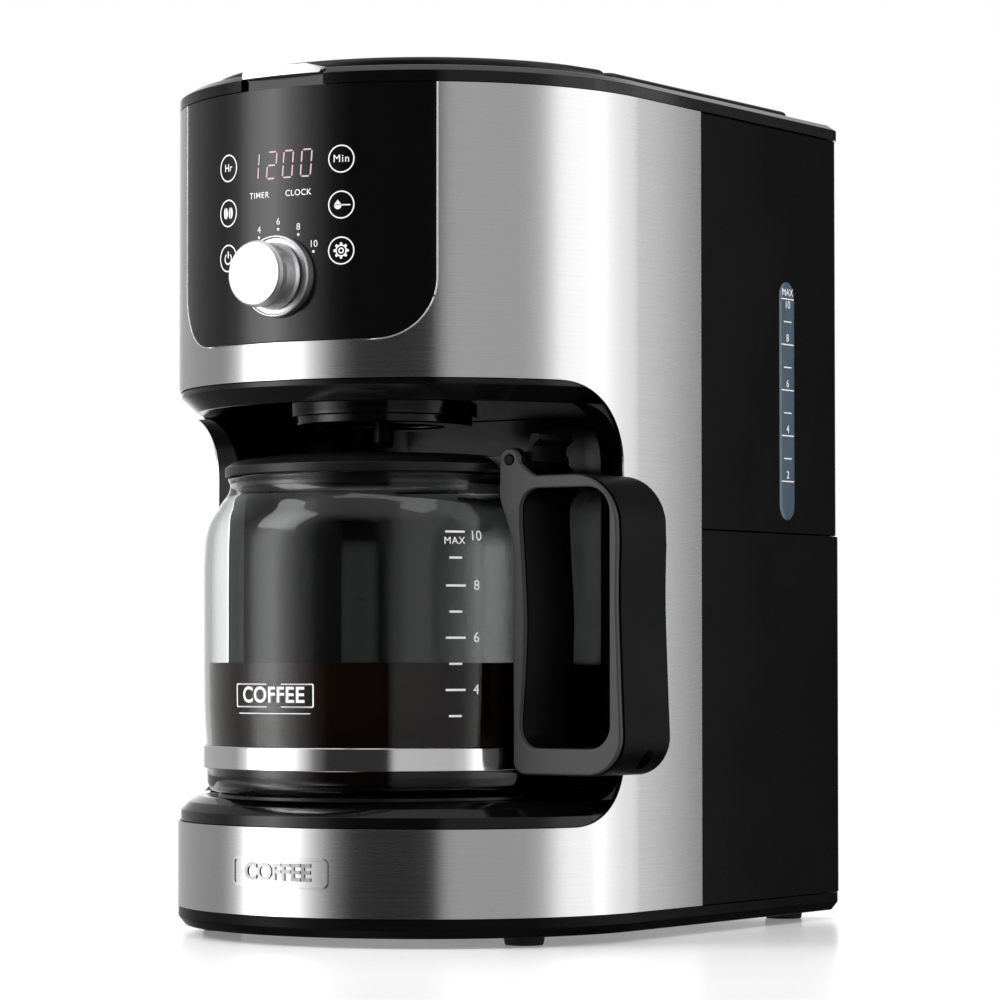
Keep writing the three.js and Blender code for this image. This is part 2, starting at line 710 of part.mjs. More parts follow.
function makeCarafe() {
  const outside = glassProfile(0);
  const inside = glassProfile(GLASS).filter(([, z], i) => z > CARAFE_BOTTOM + 5 && i % 2 === 1);
  const glass = [
    [0, CARAFE_BOTTOM],
    ...outside,
    ...inside.reverse(),
    [64, CARAFE_BOTTOM + GLASS],
    [0, CARAFE_BOTTOM + GLASS],
  ];
  add("carafe_glass", turned(glass, 0, CARAFE_Y, 36), "glass");
  add("carafe_band", ring(70.15, 71, BAND_LOW, BAND_HIGH, 0, CARAFE_Y, 36), "chrome");

  makeHandle();
  makeCarafeLid();
}

function makeHandle() {
  const low = CARAFE_Y - HANDLE_HALF_WIDTH;
  const high = CARAFE_Y + HANDLE_HALF_WIDTH;
  const strapInner = 72.8;
  const top = 179.4;
  const bottom = 64.8;

  // The loop, seen from the front: a strap that widens towards the neck of the glass, two bars
  // and an outer grip.
  const loop = (inset) => [
    ...arc(strapInner + inset + 3, bottom + inset + 3, 3, 180, 270, 3),
    ...arc(HANDLE_REACH - inset - 15, bottom + inset + 15, 15, 270, 360, 6),
    ...arc(HANDLE_REACH - inset - 17, top - inset - 17, 17, 0, 90, 6),
    new THREE.Vector2(68, top - inset),
    new THREE.Vector2(66.4, 176),
    new THREE.Vector2(66.6, 170.5),
    new THREE.Vector2(69.8, 162),
    new THREE.Vector2(strapInner, 151),
  ];
  const hole = roundedRectangle(76.6, 117, 75.2, 174.2, 7, 5);
  const plateBack = low + 2.6;
  const plate = prismAlongY(loop(0.6), low, plateBack).subtract(
    prismAlongY(hole, low - 5, plateBack + 5),
  );
  add("handle_plate", plate, "dark_grey");

  const screwZ = 70.4;
  const grip = prismAlongY(loop(0), plateBack + GAP, high)
    .subtract(prismAlongY(hole, low - 5, high + 5))
    .subtract(cylinderAlongX(CARAFE_Y, screwZ, 3.1, 107, 130, 12))
    .add(hingeEar(high - EAR_THICKNESS, high, top))
    .add(hingeEar(plateBack + GAP, low + EAR_THICKNESS, top));
  add("handle_grip", grip, "satin_black");
  add("handle_screw", cylinderAlongX(CARAFE_Y, screwZ, 2.7, 107.4, 119), "satin_metal");
}

const EAR_THICKNESS = 5.4;

// One of the two upright ears that hold the carafe lid's pin.
function hingeEar(low, high, foot) {
  const profile = [
    new THREE.Vector2(LID_PIN_X - 4, foot - 2),
    new THREE.Vector2(LID_PIN_X + 9, foot - 2),
    new THREE.Vector2(LID_PIN_X + 5.6, foot + 2),
    ...arc(LID_PIN_X, LID_PIN_Z, 4.7, 0, 180, 8),
  ];
  return prismAlongY(profile, low, high).subtract(
    cylinderAlongY(LID_PIN_X, LID_PIN_Z, 2, low - 5, high + 5, 12),
  );
}

function makeCarafeLid() {
  const rim = 62.8;
  const lid = [
    [9, 183],
    [14, 182.4],
    [56.2, 182.4],
    [56.2, 176.5],
    [58.2, 176.5],
    [58.2, NECK_TOP + 0.5],
    [rim, NECK_TOP + 0.5],
    [rim, 184.4],
    [60, 186.4],
    [40, 187.6],
    [20, 187.4],
    [14, 185],
    [9, 184.8],
    [9, 183],
  ];
  const armHalf = 11.8;
  const cap = turned(lid, 0, CARAFE_Y, 32)
    .add(block([58, LID_PIN_X], [CARAFE_Y - armHalf, CARAFE_Y + armHalf], [182, 187]))
    .add(cylinderAlongY(LID_PIN_X, LID_PIN_Z, 3.6, CARAFE_Y - armHalf, CARAFE_Y + armHalf, 16))
    .subtract(cylinderAlongY(LID_PIN_X, LID_PIN_Z, 2, 0, 200, 12));
  add("carafe_lid", cap, "satin_black");
  add(
    "lid_hinge_pin",
    cylinderAlongY(
      LID_PIN_X, LID_PIN_Z, 1.65, CARAFE_Y - HANDLE_HALF_WIDTH, CARAFE_Y + HANDLE_HALF_WIDTH, 12,
    ),
    "satin_black",
  );

  // Thumb lever: a bent plate behind the hinge barrel, standing above the handle.
  const leverProfile = [
    [4.4, 184.5], [6.8, 184.5], [7.4, 191], [10.4, 193.2], [10.2, 195.4], [5.8, 196],
  ].map(([x, z]) => new THREE.Vector2(LID_PIN_X + x, z));
  add(
    "lid_lever",
    prismAlongY(leverProfile, CARAFE_Y - armHalf, CARAFE_Y + armHalf),
    "satin_black",
  );
}

makeBase();
makeSkins();
makeBay();
makeBrewing();
makeGrinder();
makeTank();
makeTop();
makeControls();
makeCarafe();

// The handle reaches past the right-hand side and the knob past the front, so the middle of the
// footprint lies off the machine's own middle.
machine.position.set(-(HANDLE_REACH - HALF_WIDTH) / 2, -(DEPTH - DIAL_REACH) / 2, 0);

const coffeeMaker = new THREE.Group();
coffeeMaker.add(machine);

export default coffeeMaker;
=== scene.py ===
"""Looks of the grind-and-brew coffee maker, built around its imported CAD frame.

Shapes are described in millimetres in the machine's own frame: X from its middle plane, Y back
from the foremost point of the steel, Z up from the table. at() turns them into metres in the
frame of the CAD.
"""

import json
import math

import bmesh
import bpy
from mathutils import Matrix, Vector


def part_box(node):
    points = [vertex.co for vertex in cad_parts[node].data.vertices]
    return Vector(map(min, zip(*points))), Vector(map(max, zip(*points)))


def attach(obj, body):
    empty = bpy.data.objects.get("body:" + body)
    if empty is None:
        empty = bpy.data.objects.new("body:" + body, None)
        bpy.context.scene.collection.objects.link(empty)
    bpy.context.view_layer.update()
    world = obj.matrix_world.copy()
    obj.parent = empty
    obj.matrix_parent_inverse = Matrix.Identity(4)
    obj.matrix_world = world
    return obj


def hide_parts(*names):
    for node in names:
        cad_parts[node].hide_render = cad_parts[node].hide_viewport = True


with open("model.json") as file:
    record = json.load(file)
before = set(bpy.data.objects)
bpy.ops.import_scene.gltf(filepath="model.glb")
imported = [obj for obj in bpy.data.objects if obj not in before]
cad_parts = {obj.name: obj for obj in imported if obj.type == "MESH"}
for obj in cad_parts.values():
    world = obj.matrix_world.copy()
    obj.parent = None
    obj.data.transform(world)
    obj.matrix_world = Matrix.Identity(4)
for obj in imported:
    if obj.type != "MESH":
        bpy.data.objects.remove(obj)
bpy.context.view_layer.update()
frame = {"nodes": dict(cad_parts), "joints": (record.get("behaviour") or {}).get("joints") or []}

# ------------------------------------------------------------------ sizes taken from the frame

MM = 0.001
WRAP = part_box("steel_wrap")
MID_X = (WRAP[0].x + WRAP[1].x) / 2
FRONT_Y = WRAP[0].y


def at(x, y, z):
    """A point of the machine, given in millimetres, as a point of the frame in metres."""
    return Vector((MID_X + x * MM, FRONT_Y + y * MM, z * MM))


def span(node):
    """Lowest and highest corner of a CAD node in the machine's millimetres."""
    low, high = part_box(node)
    shift = Vector((MID_X, FRONT_Y, 0))
    return (low - shift) / MM, (high - shift) / MM


def joint_place(name):
    """A joint's point in the machine's millimetres."""
    joint = next(j for j in frame["joints"] if j["name"] == name)
    return (Vector(joint["pos_m"]) - Vector((MID_X, FRONT_Y, 0))) / MM


HALF = span("steel_wrap")[1].x
SEAM_Y = span("rear_cover_lower")[0].y
DEPTH = span("rear_cover_lower")[1].y
STEEL_LOW, STEEL_HIGH = span("steel_wrap")[0].z, span("steel_wrap")[1].z
DECK_LOW, DECK_TOP = span("base_deck")[0].z, span("base_deck")[1].z
HEAD_LOW, HEAD_HIGH = span("head_floor")[0].z, span("head_floor")[1].z
COVER_SEAM = span("rear_cover_upper")[0].z
RIM_LOW = span("top_frame")[0].z
LID_LOW, LID_TOP = span("filter_lid")[0].z, span("filter_lid")[1].z
RIM_TOP = LID_LOW - 0.3
PANEL_LOW = span("control_panel")[0].z
CARAFE = (span("carafe_band")[0] + span("carafe_band")[1]) / 2
CARAFE_LOW = span("carafe_glass")[0].z
NECK_TOP = span("carafe_glass")[1].z
DIAL = joint_place("dial_turn")
LID_PIN = joint_place("carafe_lid_hinge")

BACK_CORNER = 10
PILLAR_FRONT = 90
POCKET_HALF = 88.6
POCKET_BACK = 148
PANEL_ARC = 64.35
PANEL_CORNER = 23.7
BREW = (0, 61)
BREW_SQUASH = 39.5 / 64.5
HOPPER = (0, 144)
HOPPER_SQUASH = 36 / 62

# ------------------------------------------------------------------ outlines


def arc(x, y, radius, start, end, steps):
    """Points of a circular arc, angles in degrees."""
    turn = [math.radians(start + (end - start) * i / steps) for i in range(steps + 1)]
    return [(x + radius * math.cos(a), y + radius * math.sin(a)) for a in turn]


def body_outline(inset=0.0, steps=96):
    """Plan of the machine: half-circle front, straight sides, two rounded back corners."""
    half = HALF - inset
    back = DEPTH - inset
    corner = max(BACK_CORNER - inset, 2)
    return [
        *arc(0, HALF, half, 180, 360, steps),
        *arc(half - corner, back - corner, corner, 0, 90, 8),
        *arc(corner - half, back - corner, corner, 90, 180, 8),
    ]


def rectangle(left, right, low, high, radius, inset=0.0, steps=8):
    left, right, low, high = left + inset, right - inset, low + inset, high - inset
    radius = max(radius - inset, 0.2)
    return [
        *arc(right - radius, low + radius, radius, 270, 360, steps),
        *arc(right - radius, high - radius, radius, 0, 90, steps),
        *arc(left + radius, high - radius, radius, 90, 180, steps),
        *arc(left + radius, low + radius, radius, 180, 270, steps),
    ]


def fillet(points, radius, steps=5, closed=True):
    """The outline with its corners rounded; radius is one number or one for each corner."""
    count = len(points)
    radii = radius if isinstance(radius, (list, tuple)) else [radius] * count
    made = []
    for i, point in enumerate(points):
        if not closed and i in (0, count - 1):
            made.append(tuple(point))
            continue
        here = Vector(point)
        to_last = Vector(points[i - 1]) - here
        to_next = Vector(points[(i + 1) % count]) - here
        half_angle = to_last.angle(to_next) / 2
        reach = radii[i] / math.tan(half_angle)
        reach = min(reach, to_last.length * 0.49, to_next.length * 0.49)
        if reach < 1e-4 or half_angle > math.radians(88):
            made.append(tuple(point))
            continue
        start, end = here + to_last.normalized() * reach, here + to_next.normalized() * reach
        for k in range(steps + 1):
            t = k / steps
            p = start * (1 - t) ** 2 + here * 2 * t * (1 - t) + end * t * t
            made.append((p.x, p.y))
    return made


# ------------------------------------------------------------------ mesh building


def new_object(name, build):
    mesh = bpy.data.meshes.new(name)
    work = bmesh.new()
    build(work)
    bmesh.ops.recalc_face_normals(work, faces=work.faces)
    work.to_mesh(mesh)
    work.free()
    made = bpy.data.objects.new(name, mesh)
    bpy.context.scene.collection.objects.link(made)
    return made


def loft(name, rings, closed=True, caps=True):
    """A skin through rings of points (machine millimetres), each with the same count."""

    def build(work):
        rows = [[work.verts.new(at(*p)) for p in ring] for ring in rings]
        pairs = list(zip(rows, rows[1:]))
        if not caps:
            pairs.append((rows[-1], rows[0]))
        for low, high in pairs:
            count = len(low)
            for i in range(count if closed else count - 1):
                j = (i + 1) % count
                work.faces.new((low[i], low[j], high[j], high[i]))
        if caps:
            work.faces.new(rows[0][::-1])
            work.faces.new(rows[-1])

    return new_object(name, build)


def prism(name, outline, low, high):
    return loft(name, [[(x, y, z) for x, y in outline] for z in (low, high)])


def prism_x(name, outline, low, high):
    """Outline of (y, z) pulled along X."""
    return loft(name, [[(x, y, z) for y, z in outline] for x in (low, high)])


def prism_y(name, outline, low, high):
    """Outline of (x, z) pulled along Y."""
    return loft(name, [[(x, y, z) for x, z in outline] for y in (low, high)])


def stack(name, outline, profile):
    """Upright solid; outline(inset) is its plan and profile its list of (inset, z)."""
    return loft(name, [[(x, y, z) for x, y in outline(inset)] for inset, z in profile])


def slab_profile(low, high, low_edge, high_edge, base=0.0, steps=4):
    """Profile for stack(): upright sides with rounded lower and upper edges."""
    made = []
    for k in range(steps + 1):
        a = math.radians(90 * k / steps)
        made.append((base + low_edge * (1 - math.sin(a)), low + low_edge * (1 - math.cos(a))))
    for k in range(steps + 1):
        a = math.radians(90 * k / steps)
        made.append((base + high_edge * (1 - math.cos(a)), high - high_edge * (1 - math.sin(a))))
    return made


def turned(name, profile, x, y, steps=96, squash=1.0, start=0.0):
    """A closed turned piece about an upright axis; profile is a list of (radius, z)."""

    def build(work):
        rows = []
        for radius, z in profile:
            if radius < 1e-6:
                rows.append([work.verts.new(at(x, y, z))])
                continue
            row = []
            for i in range(steps):
                a = start + 2 * math.pi * i / steps
                row.append(
                    work.verts.new(at(x + radius * math.cos(a), y + squash * radius * math.sin(a), z))
                )
            rows.append(row)
        pairs = list(zip(rows, rows[1:]))
        if len(rows[0]) > 1 and len(rows[-1]) > 1:
            pairs.append((rows[-1], rows[0]))
        for low, high in pairs:
            for i in range(steps):
                j = (i + 1) % steps
                corners = [low[i % len(low)], low[j % len(low)], high[j % len(high)], high[i % len(high)]]
                face = list(dict.fromkeys(corners))
                if len(face) > 2:
                    work.faces.new(face)

    return new_object(name, build)


def turned_forward(name, profile, x, z, steps=96):
    """A closed turned piece about an axis along Y; profile is a list of (radius, y)."""
    made = turned(name, [(r, y) for r, y in profile], 0, 0, steps)
    for v in made.data.vertices:
        local = (v.co - at(0, 0, 0)) / MM
        v.co = at(x + local.x, local.z, z + local.y)
    return made


def tube(name, points, radius, sides=12, closed=False):
    """A round rod along points (machine millimetres)."""
    path = [Vector(p) for p in points]
    count = len(path)
    rings = []
    up = Vector((0, 0, 1))
    for i, p in enumerate(path):
        after = path[(i + 1) % count] if closed or i < count - 1 else p
        before = path[i - 1] if closed or i > 0 else p
        along = (after - before).normalized()
        side = along.cross(up if abs(along.z) < 0.95 else Vector((1, 0, 0))).normalized()
        over = side.cross(along)
        ring = []
        for k in range(sides):
            a = 2 * math.pi * k / sides
            ring.append(tuple(p + side * radius * math.cos(a) + over * radius * math.sin(a)))
        rings.append(ring)
    return loft(name, rings, caps=not closed)


def combine(target, tool, operation):
    """Boolean of two objects; the tool is used up."""
    change = target.modifiers.new(operation, "BOOLEAN")
    change.operation = operation
    change.solver = "EXACT"
    change.object = tool
    shapes = bpy.context.evaluated_depsgraph_get()
    mesh = bpy.data.meshes.new_from_object(target.evaluated_get(shapes))
    target.modifiers.clear()
    target.data = mesh
    bpy.data.objects.remove(tool)
    return target


def cut(target, *tools):
    for tool in tools:
        combine(target, tool, "DIFFERENCE")
    return target


def join(target, *tools):
    for tool in tools:
        combine(target, tool, "UNION")
    return target


FAR = 400


def half_space(low=None, high=None):
    """A large block; low and high limit it along Y."""
    front = -FAR if low is None else low
    back = FAR if high is None else high
    return prism("cutter", [(-FAR, front), (FAR, front), (FAR, back), (-FAR, back)], -FAR, FAR * 2)


def box_piece(name, x, y, z):
    return prism(name, [(x[0], y[0]), (x[1], y[0]), (x[1], y[1]), (x[0], y[1])], *z)


def soften(piece, width, segments=3, angle=35):
    """Rounds the sharp edges of a piece, width in millimetres."""
    change = piece.modifiers.new("edges", "BEVEL")
    change.width = width * MM
    change.segments = segments
    change.limit_method = "ANGLE"
    change.angle_limit = math.radians(angle)
    change.use_clamp_overlap = True
    change.harden_normals = False
    shapes = bpy.context.evaluated_depsgraph_get()
    mesh = bpy.data.meshes.new_from_object(piece.evaluated_get(shapes))
    piece.modifiers.clear()
    piece.data = mesh
    return piece


def even_shading(piece):
    """Weights the normals by area, so that a large flat face stays flat beside a rounded edge."""
    change = piece.modifiers.new("shading", "WEIGHTED_NORMAL")
    change.keep_sharp = True
    shapes = bpy.context.evaluated_depsgraph_get()
    mesh = bpy.data.meshes.new_from_object(piece.evaluated_get(shapes))
    piece.modifiers.clear()
    piece.data = mesh


def place(piece, material, body, *nodes, slot=None, angle=32):
    """Shades a finished piece, hangs it on its body and hides the CAD nodes it stands for."""
    piece.data.materials.clear()
    piece.data.materials.append(material)
    piece.data.shade_smooth()
    piece.data.set_sharp_from_angle(angle=math.radians(angle))
    even_shading(piece)
    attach(piece, body)
    if nodes:
        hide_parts(*nodes)
    return piece


# ------------------------------------------------------------------ materials


class Shader:
    """A small helper for building one Principled material."""

    def __init__(self, name, color, roughness, metallic=0.0, **sockets):
        self.material = bpy.data.materials.new(name)
        self.material.use_nodes = True
        self.tree = self.material.node_tree
        self.main = self.tree.nodes["Principled BSDF"]
        self.color = color
        self.set("Base Color", (*color, 1))
        self.set("Roughness", roughness)
        self.set("Metallic", metallic)
        for socket, value in sockets.items():
            self.set(socket.replace("_", " "), value)

    def set(self, socket, value):
        self.main.inputs[socket].default_value = value

    def node(self, kind, **inputs):
        made = self.tree.nodes.new(kind)
        for socket, value in inputs.items():
            made.inputs[socket.replace("_", " ")].default_value = value
        return made

    def link(self, source, target):
        self.tree.links.new(source, target)

    def noise(self, scale, detail=4.0, roughness=0.6, stretch=(1, 1, 1)):
        """Noise over the object's own metres; returns its factor output."""
        where = self.node("ShaderNodeTexCoord")
        mapping = self.node("ShaderNodeMapping", Scale=stretch)
        noise = self.node("ShaderNodeTexNoise", Scale=scale, Detail=detail, Roughness=roughness)
        self.link(where.outputs["Object"], mapping.inputs["Vector"])
        self.link(mapping.outputs["Vector"], noise.inputs["Vector"])
        return noise.outputs["Fac"]

    def remap(self, factor, low, high, start=0.3, end=0.7):
        made = self.node(
            "ShaderNodeMapRange",
            **{"From_Min": start, "From_Max": end, "To_Min": low, "To_Max": high},
        )
        self.link(factor, made.inputs["Value"])
        return made.outputs["Result"]

    def vary_roughness(self, factor, low, high):
        self.link(self.remap(factor, low, high), self.main.inputs["Roughness"])

    def vary_color(self, factor, dark, light, start=0.3, end=0.7):
        ramp = self.node("ShaderNodeValToRGB")
        ramp.color_ramp.elements[0].position = start
        ramp.color_ramp.elements[0].color = (*[c * dark for c in self.color], 1)
        ramp.color_ramp.elements[1].position = end
        ramp.color_ramp.elements[1].color = (*[c * light for c in self.color], 1)
        self.link(factor, ramp.inputs["Fac"])
        self.link(ramp.outputs["Color"], self.main.inputs["Base Color"])

    def bump(self, height, strength, distance, before=None):
        made = self.node("ShaderNodeBump", Strength=strength, Distance=distance)
        self.link(height, made.inputs["Height"])
        if before:
            self.link(before, made.inputs["Normal"])
        self.link(made.outputs["Normal"], self.main.inputs["Normal"])
        return made.outputs["Normal"]


def brushed(name, color, roughness, stretch, anisotropy=0.6):
    """Metal with fine straight brush lines and a few longer scratches."""
    s = Shader(name, color, roughness, 1.0)
    fine = s.noise(1.0, 3.0, 0.7, stretch)
    coarse = s.noise(1.0, 2.0, 0.5, [v / 6 for v in stretch])
    s.vary_roughness(fine, roughness - 0.03, roughness + 0.04)
    s.vary_color(fine, 0.98, 1.0)
    first = s.bump(fine, 0.014, 0.00004)
    s.bump(coarse, 0.005, 0.0001, first)
    s.set("Anisotropic", anisotropy)
    s.set("Anisotropic Rotation", 0.25)
    tangent = s.node("ShaderNodeTangent")
    tangent.direction_type = "RADIAL"
    tangent.axis = "Z"
    s.link(tangent.outputs["Tangent"], s.main.inputs["Tangent"])
    return s.material


def plastic(name, color, roughness, grain, grain_depth, level=0.3, spread=0.05):
    """Moulded plastic: a fine spark-eroded grain over slow changes of gloss."""
    s = Shader(name, color, roughness, Specular_IOR_Level=level)
    slow = s.noise(24.0, 3.0, 0.55)
    s.vary_roughness(slow, roughness - spread, roughness + spread)
    s.vary_color(slow, 0.85, 1.15)
    skin = s.noise(grain, 3.0, 0.6)
    s.bump(skin, 0.25, grain_depth)
    return s.material


def glossy(name, color, roughness, level=0.5):
    """Gloss plastic: almost flat, with a faint orange peel and a little dust."""
    s = Shader(name, color, roughness, Specular_IOR_Level=level)
    dust = s.noise(420.0, 5.0, 0.75)
    s.vary_roughness(dust, roughness * 0.8, roughness * 1.6)
    peel = s.noise(55.0, 2.0, 0.4)
    s.bump(peel, 0.05, 0.0004)
    s.vary_color(dust, 0.8, 1.3)
    return s.material


def glass_material():
    s = Shader("carafe_glass", (0.97, 0.985, 0.98), 0.0, Transmission_Weight=1.0, IOR=1.3)
    smear = s.noise(45.0, 3.0, 0.5)
    s.vary_roughness(smear, 0.0, 0.012)
    return s.material


def coffee_material():
    s = Shader("coffee", (0.0085, 0.0026, 0.0013), 0.08, Specular_IOR_Level=0.06)
    slow = s.noise(16.0, 2.0, 0.5)
    s.vary_color(slow, 0.6, 1.5)
    return s.material


def smoke_material(name, color, alpha):
    s = Shader(name, color, 0.18, Transmission_Weight=alpha)
    slow = s.noise(40.0, 3.0, 0.5)
    s.vary_roughness(slow, 0.14, 0.24)
    s.vary_color(slow, 0.85, 1.1)
    skin = s.noise(900.0, 2.0, 0.5)
    s.bump(skin, 0.06, 0.0001)
    return s.material


def ink(name, color, emission=0.0):
    s = Shader(name, color, 0.45)
    speck = s.noise(2500.0, 2.0, 0.5)
    s.vary_color(speck, 0.85, 1.05)
    s.vary_roughness(speck, 0.35, 0.5)
    # Emission makes the ink glow. On the white print it is a painted glow; on the display digits it is the display's
    # own light.
    s.set("Emission Color", (*color, 1))
    s.set("Emission Strength", emission)
    return s.material


def mesh_metal():
    """Fine woven filter mesh: a regular pattern of dark holes in bright metal."""
    s = Shader("filter_mesh", (0.72, 0.7, 0.62), 0.3, 1.0)
    where = s.node("ShaderNodeTexCoord")
    holes = s.node("ShaderNodeTexVoronoi", Scale=900.0, Randomness=0.0)
    s.link(where.outputs["Object"], holes.inputs["Vector"])
    ramp = s.node("ShaderNodeValToRGB")
    ramp.color_ramp.elements[0].position = 0.25
    ramp.color_ramp.elements[0].color = (0.02, 0.018, 0.015, 1)
    ramp.color_ramp.elements[1].position = 0.4
    ramp.color_ramp.elements[1].color = (0.72, 0.69, 0.6, 1)
    s.link(holes.outputs["Distance"], ramp.inputs["Fac"])
    s.link(ramp.outputs["Color"], s.main.inputs["Base Color"])
    s.bump(holes.outputs["Distance"], 0.4, 0.0002)
    return s.material


STEEL = brushed("brushed_steel", (0.66, 0.66, 0.665), 0.25, (9, 9, 3200), 0.85)
CHROME = brushed("polished_chrome", (0.84, 0.84, 0.85), 0.09, (20, 20, 2400), 0.0)
SATIN = brushed("satin_aluminium", (0.8, 0.8, 0.81), 0.42, (1800, 1800, 1800), 0.0)
GLOSS = glossy("gloss_black", (0.0025, 0.0025, 0.0027), 0.07, 0.3)
PANEL = glossy("panel_black", (0.002, 0.002, 0.0023), 0.09, 0.42)
LINER = glossy("bay_black", (0.0018, 0.0018, 0.002), 0.12, 0.1)
BLACK = plastic("satin_black", (0.003, 0.003, 0.0031), 0.28, 2600.0, 0.00003, 0.05)
LIDS = plastic("lid_black", (0.006, 0.006, 0.0062), 0.3, 2200.0, 0.00003, 0.3)
SOFT = plastic("handle_grey", (0.034, 0.034, 0.035), 0.5, 3000.0, 0.00004, 0.4)
GRIP = plastic("handle_grip", (0.0022, 0.0022, 0.0023), 0.42, 3000.0, 0.00004, 0.07)
RUBBER = plastic("rubber", (0.012, 0.012, 0.012), 0.75, 1500.0, 0.00008)
PLATE = plastic("warming_plate_coating", (0.008, 0.008, 0.008), 0.28, 1400.0, 0.00006)
SILICONE = plastic("silicone", (0.62, 0.62, 0.58), 0.5, 900.0, 0.00005)
BOARD = plastic("circuit_board", (0.015, 0.09, 0.035), 0.45, 500.0, 0.0001)
GLASS = glass_material()
COFFEE = coffee_material()
WINDOW = smoke_material("window_smoke", (0.075, 0.112, 0.158), 0.15)
TANK = smoke_material("tank_smoke", (0.3, 0.36, 0.42), 0.7)
# White print with a painted glow: emission 0.12, though print gives no light.
GLOWING_INK = ink("white_print_glowing", (0.8, 0.8, 0.8), 0.12)
DIGITS = ink("display_digits", (0.55, 0.36, 0.42), 0.24)
# Steel darkened as painted shade: on the badge letters it stands for shaded relief, on the screw head for the shade
# in its hole.
SHADE_DARKENED_STEEL = brushed("steel_darkened_for_shade", (0.3, 0.3, 0.305), 0.3, (9, 9, 3200), 0.0)
MESH = mesh_metal()

# ------------------------------------------------------------------ base


def make_base():
    low, high = span("base_pan")[0].z, span("base_pan")[1].z
    edge = fillet([(3.9, low), (3.1, low), (0.4, low + 3.4), (0.4, high)], [0, 0.8, 1.2, 0], closed=False)
    pan = stack("base_pan_skin", body_outline, edge)
    place(pan, BLACK, "housing", "base_pan", slot="satin_black")

    for name in ("front_left", "front_right", "rear_left", "rear_right"):
        foot_low, foot_high = span(f"foot_{name}")
        middle = (foot_low + foot_high) / 2
        radius = (foot_high.x - foot_low.x) / 2
        profile = fillet(
            [(0, 0), (radius - 0.6, 0), (radius, foot_high.z), (radius - 1.5, low + 1), (0, low + 1)],
            [0, 0.7, 0.5, 0, 0],
        )
        foot = turned(f"foot_{name}_pad", profile, middle.x, middle.y, 48)
        place(foot, RUBBER, "housing", f"foot_{name}", slot="rubber")

    deck_edge = fillet(
        [(1.1, DECK_LOW), (1.1, 49.2), (4.3, 52.5), (8.6, DECK_TOP), (14, DECK_TOP)],
        [0, 0.5, 2.5, 2.5, 0],
        closed=False,
    )
    deck = cut(stack("base_deck_skin", body_outline, deck_edge), half_space(low=SEAM_Y - 0.3))
    place(deck, GLOSS, "housing", "base_deck", slot="gloss_black")

    plate_low, plate_high = span("warming_plate")
    radius = (plate_high.x - plate_low.x) / 2
    rim = fillet(
        [
            (0, DECK_TOP - 1),
            (radius - 3, DECK_TOP - 1),
            (radius, DECK_TOP + 0.1),
            (radius, plate_high.z - 0.5),
            (radius - 1.3, plate_high.z),
            (radius - 4, plate_high.z),
            (radius - 4.6, plate_high.z - 0.4),
            (0, plate_high.z - 0.4),
        ],
        [0, 0, 0.3, 0.3, 0.3, 0.3, 0.3, 0],
    )
    plate = turned("warming_plate_disc", rim, CARAFE.x, CARAFE.y, 128)
    place(plate, PLATE, "housing", "warming_plate", slot="satin_black")


# ------------------------------------------------------------------ outer skins


def bay_outline(floor, roof, back, lower, upper):
    """The bay seen from the side: (y, z), open to the front."""
    return [
        (-50, floor),
        *arc(back - lower, floor + lower, lower, 270, 360, 20),
        *arc(back - upper, roof - upper, upper, 0, 90, 20),
        (-50, roof),
    ]


STEEL_BAY = (44.9, HEAD_HIGH + 0.3, PILLAR_FRONT, 26, 32)


def panel_outline(margin=0.0, top=STEEL_HIGH + 10):
    """The control panel from the front, true arcs on the unrolled surface: (s, z)."""
    half = PANEL_ARC + 0.35 + margin
    low = PANEL_LOW - 0.35 - margin
    return [
        *arc(half - PANEL_CORNER, low + PANEL_CORNER, PANEL_CORNER, 270, 360, 16),
        (half, top),
        (-half, top),
        *arc(PANEL_CORNER - half, low + PANEL_CORNER, PANEL_CORNER, 180, 270, 16),
    ]


def rolled(outline):
    """Unrolled (s, z) points as they look straight from the front: (x, z)."""
    return [(HALF * math.sin(s / HALF), z) for s, z in outline]


def on_front(s, z, lift=0.0):
    """A point of the round front, s measured round it from the middle."""
    a = s / HALF
    return ((HALF + lift) * math.sin(a), HALF - (HALF + lift) * math.cos(a), z)


def make_skins():
    steel = cut(
        prism("steel_skin", body_outline(0, 144), STEEL_LOW, STEEL_HIGH),
        prism("inner", body_outline(0.8, 144), 0, 400),
        half_space(low=SEAM_Y - 0.3),
        prism_x("bay", bay_outline(*STEEL_BAY), -FAR, FAR),
        prism_y("panel", rolled(panel_outline()), -5, 30),
    )
    soften(steel, 0.22, 2, 50)
    place(steel, STEEL, "housing", "steel_wrap", slot="steel", angle=20)

    for name, inset, low, high in (
        ("lower", 0.0, STEEL_LOW, COVER_SEAM - 0.3),
        ("upper", 0.8, COVER_SEAM, STEEL_HIGH),
    ):
        cover = cut(
            stack(
                f"rear_cover_{name}_skin", body_outline, slab_profile(low, high, 0.5, 0.5, inset, 3)
            ),
            prism("inner", body_outline(inset + 2.4), 0, 400),
            half_space(high=SEAM_Y),
        )
        if name == "lower":
            gland = (span("cord_gland")[0] + span("cord_gland")[1]) / 2
            hole = turned_forward("hole", [(0, DEPTH - 9), (6.3, DEPTH - 9), (6.3, DEPTH + 9), (0, DEPTH + 9)],
                                  gland.x, gland.z, 48)
            cut(cover, hole)
        soften(cover, 0.3, 2, 50)
        place(cover, BLACK, "housing", f"rear_cover_{name}", slot="satin_black", angle=20)


# ------------------------------------------------------------------ carafe bay and head


